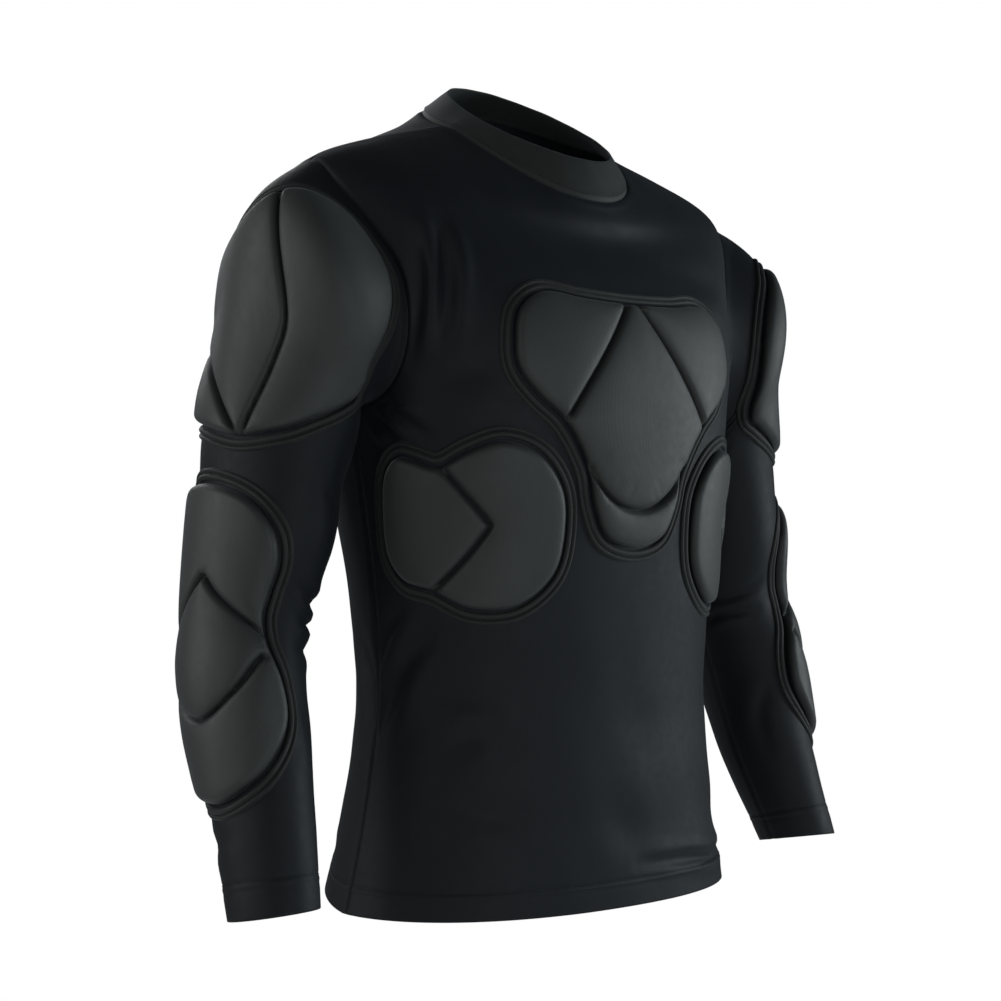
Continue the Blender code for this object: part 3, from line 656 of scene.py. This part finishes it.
def add_panel(name, skin, cut, columns, turned, material):
    """A front or back panel: hem, side seams, armholes, shoulder seams and neck."""
    share = panel_shares()
    edge = panel_edge(share, cut)
    low, high = ring_distance(skin, -edge, share), ring_distance(skin, edge, share)
    run = PANEL_EDGE_RUN
    inner = np.linspace(0, 1, columns)[None, :]
    start, end = (low + run[-1])[:, None], (high - run[-1])[:, None]
    around = np.concatenate([low[:, None] + run[:-1], start + (end - start) * inner,
                             high[:, None] - run[:-1][::-1]], axis=1)
    shares = np.repeat(share[:, None], around.shape[1], axis=1)
    angle = skin.angle(around.ravel(), shares.ravel()).reshape(around.shape)
    angle[:, 0], angle[:, -1] = -edge, edge
    points = skin.point(angle, shares)
    normal = outward(skin.point, angle, shares)
    normal[-1] = neck_normal(angle[-1] + turned)
    side = read_curve(BODY[:, 1:2], BODY[:, 0], share) / MM
    level = np.repeat(side, around.shape[1], axis=1)
    seam = path_distance(points.reshape(-1, 3) / MM, seam_lines(points)).reshape(around.shape)
    hem = hem_relief(level - HEM_LEVEL, HEM_HEIGHT)
    outer, inner = two_faces(skin, points, normal, around, level, seam, hem)
    climb = np.cumsum(np.linalg.norm(np.diff(points, axis=0), axis=-1), axis=0) / MM
    place = np.stack([around, np.concatenate([np.zeros((1, around.shape[1])), climb])], -1)
    return cloth_shell(name, outer, inner, False, ("low",), material, "jersey", place)


def add_sleeve(name, skin, material):
    """A sleeve: a tube with one seam along the underside of the arm."""
    turns = np.linspace(0, 2 * math.pi, 2 * ARMHOLE_TURNS, endpoint=False)
    along = spaced(0.0, (2.4, 4), (7.0, 4), (30.0, 10), (568.0, 128), (574.0, 4), (584.0, 12), (597.0, 4),
                   (SLEEVE_LENGTH, 2))
    turns, along = np.broadcast_arrays(turns[None, :], along[:, None])
    share = along / SLEEVE_LENGTH
    points = sleeve_point(turns, share)
    normal = outward(sleeve_point, turns, share)
    body = outward(body_point, *armhole(turns[0]))[None]
    near = np.exp(-(along / 8.0) ** 2)[..., None]
    normal = unit(normal * (1 - near) + body * near)
    around = ring_distance(skin, (turns + math.pi) % (2 * math.pi) - math.pi, share)
    seams = [points[:, ARMHOLE_TURNS] / MM, closed(points[0]) / MM]
    seam = path_distance(points.reshape(-1, 3) / MM, seams).reshape(along.shape)
    hem = hem_relief((SLEEVE_LENGTH - along) * CUFF_SCALE, CUFF_HEIGHT)
    outer, inner = two_faces(skin, points, normal, around, along, seam, hem)
    place = np.stack([around, along], -1)
    return cloth_shell(name, outer, inner, True, ("high",), material, "jersey", place)


def add_collar(name, material):
    """A band folded over along its rim and sewn into the neck."""
    angles = np.linspace(-math.pi, math.pi, 240, endpoint=False)
    shares = np.concatenate([np.linspace(0, 0.2, 6), np.linspace(0.2, 1, 14)[1:]])
    angles, shares = np.broadcast_arrays(angles[None, :], shares[:, None])
    points = collar_point(angles, shares)
    normal = outward(collar_point, angles, shares)
    near = np.exp(-(shares / 0.12) ** 2)[..., None]
    normal = unit(normal * (1 - near) + neck_normal(angles[0])[None] * near)
    seam = np.linalg.norm(points - points[:1], axis=-1) / MM
    ripple = 0.12 * np.sin(angles * 9 + 1.3) + 0.1 * np.sin(angles * 17 + shares * 3)
    height = seam_dip(seam) + (ripple + 0.5 * np.sin(math.pi * np.clip(shares, 0, 1))) * seam_ease(seam)
    outer = points + height[..., None] * MM * normal
    thick = 1.0 + 1.1 * seam_ease(seam)
    inner = outer - thick[..., None] * MM * normal
    place = np.stack([np.broadcast_to(run_along(points[0])[None, :] / MM, seam.shape), seam], -1)
    return cloth_shell(name, outer, inner, True, ("high",), material, "collar_cloth", place)


# The foam pads

def foam_height(place, outline, grooves, thickness, crown):
    """Height of the foam's cover, and how far a place lies down in a groove or at the edge, which the
    finish darkens as painted shade.
    """
    from_edge = path_distance(place, [closed(outline)])
    from_groove = path_distance(place, grooves)
    rise = np.sqrt(1 - (1 - np.clip(from_edge / FOAM_EDGE_RADIUS, 0, 1)) ** 2)
    cell = np.clip(np.minimum(from_edge, from_groove) / 32.0, 0, 1)
    crowned = thickness + crown * cell * (2 - cell)
    groove = np.exp(-(from_groove / GROOVE_WIDTH) ** 2)
    shoulder = np.exp(-(from_groove / (2.4 * GROOVE_WIDTH)) ** 2)
    height = crowned * rise - (GROOVE_DEPTH * groove + 0.9 * shoulder) * np.clip(rise, 0.1, 1)
    # This mask marks the grooves and the edge, where painted shade goes.
    sunk = np.maximum(groove, np.exp(-(from_edge / 1.6) ** 2))
    return np.maximum(height, np.minimum(1.0, crowned * rise)), 1 - sunk


def rows_of_points(outline, spacing):
    low, high = outline.min(axis=0), outline.max(axis=0)
    rows = np.arange(low[1], high[1], spacing * math.sqrt(3) / 2)
    points = np.array([(x + (r % 2) * spacing / 2, y) for r, y in enumerate(rows)
                       for x in np.arange(low[0], high[0], spacing)])
    return points[inside_outline(points, outline)]


def filled(outline, lines, beside, spacing):
    """Triangles that fill an outline with edges along the lines. The outline's points come first."""
    loop = [closed(outline)]
    lines = [line[inside_outline(line, outline) & (path_distance(line, loop) > 0.8)] for line in lines]
    lines = [line for line in lines if len(line) > 1]
    fixed = np.concatenate([outline] + lines)
    extra = [points[inside_outline(points, outline) & (path_distance(points, loop) > 1.2)
                    & (path_distance(points, lines) > 0.85 * away)] for points, away in beside]
    fill = rows_of_points(outline, spacing)
    fill = fill[path_distance(fill, loop + lines) > 0.6 * spacing]
    groups = [(points, 0.9) for points in extra] + [(fill, 0.62 * spacing)]
    kept = thinned_after(fixed, groups)
    points = np.concatenate([fixed, kept])
    edges = [(k, (k + 1) % len(outline)) for k in range(len(outline))]
    first = len(outline)
    for line in lines:
        edges += [(first + k, first + k + 1) for k in range(len(line) - 1)]
        first += len(line)
    result = delaunay_2d_cdt([tuple(p) for p in points], edges, [], 1, 1e-3)
    found, faces, origins = np.array([tuple(p) for p in result[0]]), result[2], result[3]
    order = {origin: new for new, group in enumerate(origins) for origin in group if origin < len(outline)}
    first = [order[k] for k in range(len(outline))]
    taken = set(first)
    moved = first + [k for k in range(len(found)) if k not in taken]
    at = {old: new for new, old in enumerate(moved)}
    return found[moved], [tuple(at[v] for v in face) for face in faces]


def thinned_after(fixed, groups):
    """The groups' points that are clear of the fixed points and of each other."""
    kept = fixed
    for points, least in groups:
        for point in points:
            if ((kept - point) ** 2).sum(1).min() > least * least:
                kept = np.concatenate([kept, point[None]])
    return kept[len(fixed):]


def swell(piece, held):
    """Lets the cover bulge between its seams and grooves, by a limited distance."""
    mesh = piece.data
    start = np.array([v.co for v in mesh.vertices])
    group = piece.vertex_groups.new(name="held")
    group.add([int(v) for v in held], 1.0, "REPLACE")
    cloth = piece.modifiers.new("swell", "CLOTH")
    cloth.settings.vertex_group_mass = "held"
    cloth.settings.use_pressure = True
    cloth.settings.uniform_pressure_force = SWELL_PRESSURE
    cloth.settings.effector_weights.gravity = 0.0
    cloth.settings.quality = 5
    cloth.collision_settings.use_collision = False
    cloth.point_cache.frame_start, cloth.point_cache.frame_end = 1, SWELL_STEPS
    scene = bpy.context.scene
    for step in range(1, SWELL_STEPS + 1):
        scene.frame_set(step)
    swollen = piece.evaluated_get(bpy.context.evaluated_depsgraph_get()).to_mesh()
    moved = np.array([v.co for v in swollen.vertices]) - start
    piece.modifiers.remove(cloth)
    piece.vertex_groups.clear()
    scene.frame_set(1)
    length = np.linalg.norm(moved, axis=1, keepdims=True)
    moved *= np.minimum(1.0, SWELL_REACH * MM / np.maximum(length, 1e-9))
    mesh.vertices.foreach_set("co", (start + moved).astype(np.float32).ravel())
    mesh.update()


def foam_pad(name, skin, corners, grooves, kind, material):
    """A sewn-on foam pad: rounded edges, pressed grooves and crowned cells between them."""
    thickness, crown = PAD_KINDS[kind]
    outline = smooth_outline(corners, 2.3)
    lines = [smooth_line(groove, 2.6) for groove in grooves]
    rings = [outline] + [moved_sideways(skin, outline, -inwards) for inwards in FOAM_EDGE_RINGS]
    beside = [(moved_sideways(skin, smooth_line(groove, 3.2), side * away, loop=False), away)
              for away in GROOVE_RINGS for groove in grooves for side in (1, -1)]
    middle, faces = filled(rings[-1], lines, beside, 4.2)
    place = np.concatenate(rings[:-1] + [middle])
    count = len(outline)
    first = (len(rings) - 1) * count
    faces = [tuple(first + v for v in face) for face in faces]
    faces += grid_faces(len(rings), count, True)
    height, relief = foam_height(place, outline, lines, thickness, crown)
    height[:count] = 0.0
    base, base_faces = filled(outline, [], [], 12.0)
    base = base[count:]
    top_count = len(place)
    shift = [k if k < count else top_count + k - count for k in range(count + len(base))]
    faces += [tuple(shift[v] for v in reversed(face)) for face in base_faces]
    place = np.concatenate([place, base])
    height = np.concatenate([height, np.zeros(len(base))]) + 0.3
    relief = np.concatenate([relief, np.zeros(len(base))])
    points = skin.smooth(place[:, 0], place[:, 1], height)
    pad = add_piece(name, points, faces, material, "foam_cover", place, relief)
    order = np.arange(len(place))
    swell(pad, np.flatnonzero((relief < 0.5) | (order < 3 * count) | (order >= top_count)))
    finer = pad.modifiers.new("finer", "SUBSURF")
    finer.levels = finer.render_levels = 1
    return pad


def pad_border(name, skin, corners, material):
    """The trim round a pad: a rounded band, a stitched valley and a thin outer ridge."""
    edge = smooth_outline(corners, BORDER_STEP)
    sections = []
    for across, height in BORDER_SECTION:
        line = moved_sideways(skin, edge, across)
        sections.append(skin.smooth(line[:, 0], line[:, 1], np.full(len(line), height)))
    points = np.stack(sections)
    count, around = points.shape[:2]
    faces = [(s * around + k, (s + 1) % count * around + k, (s + 1) % count * around + (k + 1) % around,
              s * around + (k + 1) % around) for s in range(count) for k in range(around)]
    run = np.arange(around) * BORDER_STEP
    place = np.stack(np.broadcast_arrays(run[None, :], BORDER_SECTION[:, :1]), -1).reshape(-1, 2)
    # The section's height, which the finish turns into painted shade in the valley and at the edges, and
    # rubbed patches on the ridges.
    relief = np.repeat(BORDER_SECTION[:, 1] / BORDER_TOP, around)
    return add_piece(name, points.reshape(-1, 3), faces, material, "trim", place, relief)


# Stitching

STITCH = np.array([
    # share of its length, width, height
    (0.0, 0.35, -0.10), (0.25, 1.0, 0.22), (0.75, 1.0, 0.22), (1.0, 0.35, -0.10),
])
STITCH_LENGTH, STITCH_GAP, THREAD = 2.3, 0.9, 0.27


def stitches(points, normals, loop):
    """Corners and faces of a row of stitches along a line on the cloth."""
    if loop:
        points, normals = closed(points), closed(normals)
    run = run_along(points) / MM
    count = int(run[-1] // (STITCH_LENGTH + STITCH_GAP))
    pitch = run[-1] / count
    at = (np.arange(count)[:, None] + STITCH[None, :, 0] * STITCH_LENGTH / pitch) * pitch
    centre = np.stack([np.interp(at, run, points[:, k]) for k in range(3)], -1)
    normal = unit(np.stack([np.interp(at, run, normals[:, k]) for k in range(3)], -1))
    side = unit(np.cross(normal, centre[:, -1:] - centre[:, :1]))
    wide = (STITCH[:, 1] * THREAD * MM)[None, :, None]
    lift = (STITCH[:, 2] * MM)[None, :, None]
    middle = centre + lift * normal
    rings = np.stack([middle + wide * side, middle + wide * normal, middle - wide * side,
                      middle - wide * normal], axis=2)
    one = grid_faces(len(STITCH), 4, True) + [(3, 2, 1, 0), (12, 13, 14, 15)]
    return rings.reshape(-1, 3), [tuple(16 * k + v for v in face) for k in range(count) for face in one]


def stitch_line(skin, around, level, loop=True, lift=0.0, folded=True):
    """A row of stitches over a cloth surface, through places on it."""
    read = skin.cloth if folded else skin.smooth
    points = read(around, level, np.full(len(around), lift))
    share = skin.share_of(level)
    return stitches(points, outward(skin.point, skin.angle(around, share), share), loop)


def border_stitches(skin, corners):
    line = moved_sideways(skin, smooth_outline(corners, BORDER_STEP), BORDER_VALLEY)
    return stitch_line(skin, line[:, 0], line[:, 1], lift=0.95, folded=False)


def edge_row(skin, down, half, margin, columns):
    """A row of stitches over a turned edge, as far as the angle half to each side, less a margin."""
    share = skin.share_of(np.array([down]))
    low, high = (ring_distance(skin, np.array([angle]), share)[0] for angle in (-half, half))
    around = np.linspace(low + margin, high - margin, columns)
    return stitch_line(skin, around, np.full(columns, down), loop=False, lift=0.12)


def collar_row(share, columns=400):
    angles = np.linspace(-math.pi, math.pi, columns, endpoint=False)
    shares = np.full(columns, share)
    normal = outward(collar_point, angles, shares)
    return stitches(collar_point(angles, shares) + 0.45 * MM * normal, normal, True)


# Finishes

def new_group(name, inputs, outputs):
    group = bpy.data.node_groups.new(name, "ShaderNodeTree")
    for label, kind, value in inputs:
        socket = group.interface.new_socket(name=label, in_out="INPUT", socket_type=kind)
        socket.default_value = value
    for label, kind in outputs:
        group.interface.new_socket(name=label, in_out="OUTPUT", socket_type=kind)
    start = group.nodes.new("NodeGroupInput")
    end = group.nodes.new("NodeGroupOutput")
    return group, start, end


def math_node(tree, operation, *values):
    node = tree.nodes.new("ShaderNodeMath")
    node.operation = operation
    for socket, value in zip(node.inputs, values):
        if isinstance(value, (int, float)):
            socket.default_value = value
        else:
            tree.links.new(value, socket)
    return node.outputs[0]


def knit_group():
    """Fine knitted loops in the cloth's own direction: their height, and the shade in their gaps."""
    group, start, end = new_group(
        "knit_loops", [("Wale", "NodeSocketFloat", 0.9), ("Course", "NodeSocketFloat", 0.7)],
        [("Height", "NodeSocketFloat"), ("Shade", "NodeSocketFloat")])
    place = group.nodes.new("ShaderNodeAttribute")
    place.attribute_name = "cloth_place"
    split = group.nodes.new("ShaderNodeSeparateXYZ")
    group.links.new(place.outputs["Vector"], split.inputs[0])
    wale = math_node(group, "DIVIDE", split.outputs[0], start.outputs["Wale"])
    course = math_node(group, "DIVIDE", split.outputs[1], start.outputs["Course"])
    turn = math_node(group, "MULTIPLY", wale, math.pi)
    across = math_node(group, "ABSOLUTE", math_node(group, "SINE", turn))
    slanted = math_node(group, "ADD", course, math_node(group, "MULTIPLY", across, 0.35))
    along = math_node(group, "SINE", math_node(group, "MULTIPLY", slanted, 2 * math.pi))
    loops = math_node(group, "MULTIPLY_ADD", along, 0.22, math_node(group, "MULTIPLY", across, 0.78))
    group.links.new(loops, end.inputs["Height"])
    group.links.new(math_node(group, "MULTIPLY_ADD", across, 0.2, 0.8), end.inputs["Shade"])
    return group


def variation_group():
    """Slow and fine unevenness of the dye and the surface, from 0 to 1."""
    group, start, end = new_group(
        "uneven_dye", [("Broad", "NodeSocketFloat", 9.0), ("Fine", "NodeSocketFloat", 160.0)],
        [("Tone", "NodeSocketFloat"), ("Fibre", "NodeSocketFloat")])
    where = group.nodes.new("ShaderNodeTexCoord")
    for label, size, detail in (("Tone", "Broad", 3.0), ("Fibre", "Fine", 2.0)):
        noise = group.nodes.new("ShaderNodeTexNoise")
        noise.inputs["Detail"].default_value = detail
        group.links.new(where.outputs["Object"], noise.inputs["Vector"])
        group.links.new(start.outputs[size], noise.inputs["Scale"])
        group.links.new(noise.outputs["Fac"], end.inputs[label])
    return group


def shade_and_wear_group():
    """Painted shade in the grooves, at the pads' sunk edges and in the trim's low places, and lighter
    rubbed patches on the raised places.
    """
    group, start, end = new_group(
        "rub_and_shadow", [("Depth", "NodeSocketFloat", 0.5), ("Rub", "NodeSocketFloat", 0.2)],
        [("PaintedShade", "NodeSocketFloat"), ("Light", "NodeSocketFloat")])
    relief = group.nodes.new("ShaderNodeAttribute")
    relief.attribute_name = "relief"
    # Painted shade: the lower a place lies in a groove or beside an edge, the darker it is made.
    sunk = math_node(group, "SUBTRACT", 1.0, relief.outputs["Fac"])
    group.links.new(math_node(group, "MULTIPLY", sunk, start.outputs["Depth"]), end.inputs["PaintedShade"])
    where = group.nodes.new("ShaderNodeTexCoord")
    noise = group.nodes.new("ShaderNodeTexNoise")
    noise.inputs["Scale"].default_value = 45.0
    group.links.new(where.outputs["Object"], noise.inputs["Vector"])
    rubbed = math_node(group, "SUBTRACT", noise.outputs["Fac"], 0.45)
    patch = math_node(group, "MULTIPLY", rubbed, relief.outputs["Fac"])
    group.links.new(math_node(group, "MULTIPLY", patch, start.outputs["Rub"]), end.inputs["Light"])
    return group


def use_group(tree, group, **values):
    node = tree.nodes.new("ShaderNodeGroup")
    node.node_tree = group
    for label, value in values.items():
        node.inputs[label].default_value = value
    return node


def mix_colour(tree, amount, first, second, blend="MIX"):
    node = tree.nodes.new("ShaderNodeMix")
    node.data_type = "RGBA"
    node.blend_type = blend
    for socket, value in ((node.inputs[0], amount), (node.inputs[6], first), (node.inputs[7], second)):
        if isinstance(value, tuple):
            socket.default_value = (*value, 1)
        elif isinstance(value, (int, float)):
            socket.default_value = value
        else:
            tree.links.new(value, socket)
    return node.outputs[2]


FIBRE = 0.15  # how far the fibres spread the roughness
SHEEN_TINT = (0.7, 0.8, 0.9, 1)


def cloth_finish(name, colour, roughness, groups, rubbed=(0, 0, 0), wale=0.9, course=0.7, weave=0.10,
                 painted_shade=0.0, rub=0.0, sheen=0.1, specular=0.5):
    """A knitted cloth: its dye, its rubbed tone, painted shade in the knit's gaps and in grooves and low
    places, the knit's relief and how much it shines.
    """
    knit, variation, shade_and_wear = groups
    made = bpy.data.materials.new(name)
    made.use_nodes = True
    tree = made.node_tree
    shader = tree.nodes["Principled BSDF"]
    loops = use_group(tree, knit, Wale=wale, Course=course)
    dye = use_group(tree, variation)
    shade_and_rubs = use_group(tree, shade_and_wear, Depth=painted_shade, Rub=rub)
    tone = mix_colour(tree, math_node(tree, "MULTIPLY", dye.outputs["Tone"], 0.6), colour,
                      tuple(c * 1.45 for c in colour))
    tone = mix_colour(tree, math_node(tree, "MAXIMUM", shade_and_rubs.outputs["Light"], 0.0), tone, rubbed)
    # Painted shade: the knit's gaps, and the grooves and low places of pads and trim, darken the colour.
    shade = math_node(tree, "MULTIPLY", loops.outputs["Shade"],
                      math_node(tree, "SUBTRACT", 1.0, shade_and_rubs.outputs["PaintedShade"]))
    grey = tree.nodes.new("ShaderNodeCombineColor")
    for socket in grey.inputs:
        tree.links.new(shade, socket)
    tree.links.new(mix_colour(tree, 1.0, tone, grey.outputs[0], "MULTIPLY"), shader.inputs["Base Color"])
    spread = math_node(tree, "MULTIPLY_ADD", dye.outputs["Fibre"], FIBRE, roughness - FIBRE / 2)
    tree.links.new(spread, shader.inputs["Roughness"])
    bump = tree.nodes.new("ShaderNodeBump")
    bump.inputs["Strength"].default_value = 0.7
    bump.inputs["Distance"].default_value = weave * MM
    height = math_node(tree, "MULTIPLY_ADD", dye.outputs["Fibre"], 0.4, loops.outputs["Height"])
    tree.links.new(height, bump.inputs["Height"])
    tree.links.new(bump.outputs["Normal"], shader.inputs["Normal"])
    shader.inputs["Metallic"].default_value = 0.0
    shader.inputs["Specular IOR Level"].default_value = specular
    shader.inputs["Sheen Weight"].default_value = sheen
    shader.inputs["Sheen Roughness"].default_value = 0.45
    shader.inputs["Sheen Tint"].default_value = SHEEN_TINT
    return made


def pale_floor_finish():
    """Pale to look at, with little light thrown back up at the garment."""
    made = bpy.data.materials.new("pale_floor")
    made.use_nodes = True
    tree = made.node_tree
    shader = tree.nodes["Principled BSDF"]
    shader.inputs["Base Color"].default_value = (0.82, 0.82, 0.82, 1)
    shader.inputs["Roughness"].default_value = 0.8
    shader.inputs["Emission Color"].default_value = (1, 1, 1, 1)
    path = tree.nodes.new("ShaderNodeLightPath")
    glow = math_node(tree, "MULTIPLY", path.outputs["Is Camera Ray"], 0.78)
    tree.links.new(glow, shader.inputs["Emission Strength"])
    return made


# The studio

FLOOR_RADIUS, FLOOR_LEVEL, FLOOR_SIDES = 3.2, -1.45, 64
MIDDLE = (0, 0, -0.3)
COOL = (0.90, 0.97, 1.0)


def add_camera():
    data = bpy.data.cameras.new("camera")
    data.lens, data.sensor_width = 72.36, 36.0
    data.shift_x, data.shift_y = -0.0205, 0.0365
    camera = bpy.data.objects.new("camera", data)
    camera.location = (-1.0933, -1.2358, -0.319)
    camera.rotation_euler = (math.radians(90), 0, math.radians(-41.5))
    bpy.context.scene.collection.objects.link(camera)
    bpy.context.scene.camera = camera


def add_light(name, place, size, power, colour=(1, 1, 1)):
    data = bpy.data.lights.new(name, "AREA")
    data.shape = "RECTANGLE"
    data.size, data.size_y = size
    data.energy, data.color = power, colour
    light = bpy.data.objects.new(name, data)
    light.location = place
    light.rotation_euler = (Vector(MIDDLE) - Vector(place)).to_track_quat("-Z", "Y").to_euler()
    bpy.context.scene.collection.objects.link(light)


def add_studio():
    """A white surround, a pale floor well below the garment, and soft lights."""
    scene = bpy.context.scene
    scene.view_settings.view_transform = "Standard"
    world = bpy.data.worlds.new("studio")
    scene.world = world
    world.use_nodes = True
    tree = world.node_tree
    back = tree.nodes["Background"]
    path = tree.nodes.new("ShaderNodeLightPath")
    seen = math_node(tree, "MULTIPLY_ADD", path.outputs["Is Camera Ray"], 0.98, 0.02)
    tree.links.new(seen, back.inputs["Strength"])
    back.inputs["Color"].default_value = (1, 1, 1, 1)
    turns = [2 * math.pi * k / FLOOR_SIDES for k in range(FLOOR_SIDES)]
    rim = [(FLOOR_RADIUS * math.cos(turn), FLOOR_RADIUS * math.sin(turn), FLOOR_LEVEL) for turn in turns]
    mesh = bpy.data.meshes.new("floor")
    mesh.from_pydata(rim, [], [tuple(range(FLOOR_SIDES))])
    mesh.materials.append(pale_floor_finish())
    floor = bpy.data.objects.new("floor", mesh)
    scene.collection.objects.link(floor)
    add_light("left_softbox", (-2.1, 1.1, 0.2), (0.9, 1.6), 13)
    add_light("left_front_softbox", (-2.3, -0.4, 0.2), (0.9, 1.6), 5.0)
    add_light("front_softbox", (-0.3, -2.4, -0.2), (1.6, 1.0), 8, COOL)
    add_light("right_softbox", (2.1, -1.1, -0.1), (1.0, 1.2), 18, COOL)
    add_light("low_softbox", (-1.1, -1.8, -1.1), (1.4, 0.8), 2.0)
    add_light("back_softbox", (0.3, 2.3, 0.9), (1.8, 1.2), 14)


# The garment

def build():
    groups = (knit_group(), variation_group(), shade_and_wear_group())
    jersey = cloth_finish("jersey_satin", (0.0135, 0.0165, 0.0205), 0.56, groups,
                          weave=0.05, sheen=0.06, specular=0.24)
    collar_cloth = cloth_finish("collar_jersey", (0.030, 0.034, 0.031), 0.6, groups,
                                sheen=0.2, specular=0.4)
    # The foam and its trim get painted shade in their grooves and low places, and rubbed patches on their
    # raised places.
    foam = cloth_finish("foam_cover_matte", (0.044, 0.049, 0.047), 0.52, groups, (0.070, 0.077, 0.074),
                        wale=1.3, course=1.1, weave=0.07, painted_shade=0.95, rub=0.6, sheen=0.2)
    trim = cloth_finish("pad_trim_cloth", (0.026, 0.029, 0.027), 0.6, groups, (0.050, 0.054, 0.051),
                        wale=1.1, course=1.1, painted_shade=0.7, rub=0.6, sheen=0.15, specular=0.35)
    thread = cloth_finish("dark_thread", (0.016, 0.018, 0.021), 0.5, groups,
                          wale=0.3, course=0.3, weave=0.05, specular=0.3)

    panels = {"front": add_panel("front_panel_cloth", FRONT, ARMHOLE_FRONT, 154, 0.0, jersey),
              "back": add_panel("back_panel_cloth", BACK, ARMHOLE_BACK, 122, math.pi, jersey)}
    sleeves = {side: add_sleeve(f"sleeve_{side}_cloth", skin, jersey) for side, skin in ARMS.items()}
    mirror_over(sleeves["right"])
    collar = add_collar("collar_band", collar_cloth)
    for side, piece in panels.items():
        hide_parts(f"{side}_panel")
    for side, piece in sleeves.items():
        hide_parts(f"sleeve_{side}")
    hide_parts("collar")

    sewn_on = {"front": [], "back": [], "left": [], "right": []}
    pads = (
        # kind, side, what it is sewn on, skin, outline, grooves
        ("chest", "", "front", FRONT, CHEST_OUTLINE, CHEST_GROOVES),
        ("rib", "_left", "front", FRONT, RIB_OUTLINE, RIB_GROOVES),
        ("rib", "_right", "front", FRONT, RIB_OUTLINE, RIB_GROOVES),
        ("shoulder", "_left", "left", ARMS["left"], SHOULDER_LEFT, SHOULDER_LEFT_GROOVES),
        ("shoulder", "_right", "right", ARMS["right"], SHOULDER_RIGHT, SHOULDER_RIGHT_GROOVES),
        ("elbow", "_left", "left", ARMS["left"], ELBOW_OUTLINE, ELBOW_GROOVES),
        ("elbow", "_right", "right", ARMS["right"], ELBOW_OUTLINE, ELBOW_GROOVES),
    )
    for kind, side, cloth, skin, outline, grooves in pads:
        name = f"{kind}_pad{side}"
        pad = foam_pad(f"{name}_foam", skin, outline, grooves, kind, foam)
        edge = pad_border(f"{name}_trim", skin, outline, trim)
        stitching = add_piece(f"{name}_stitches", *border_stitches(skin, outline), thread, "trim")
        if side == "_right":
            mirror_over(pad, edge, stitching)
        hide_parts(name)
        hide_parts(f"{kind}_pad_border{side}")
        sewn_on[cloth] += [edge, stitching]

    for side, skin in (("front", FRONT), ("back", BACK)):
        row = edge_row(skin, HEM_LEVEL + HEM_HEIGHT, math.pi / 2, 1.5, 240)
        sewn_on[side].append(add_piece(f"hem_{side}_stitches", *row, thread, "jersey"))
    for side, skin in ARMS.items():
        row = edge_row(skin, SLEEVE_LENGTH - CUFF_HEIGHT / CUFF_SCALE, math.pi * 0.995, 0.0, 150)
        sewn_on[side].append(add_piece(f"cuff_{side}_stitches", *row, thread, "jersey"))
    mirror_over(sewn_on["right"][-1])
    neck = add_piece("collar_stitches", *collar_row(0.13), thread, "collar_cloth")


add_camera()
add_studio()
build()
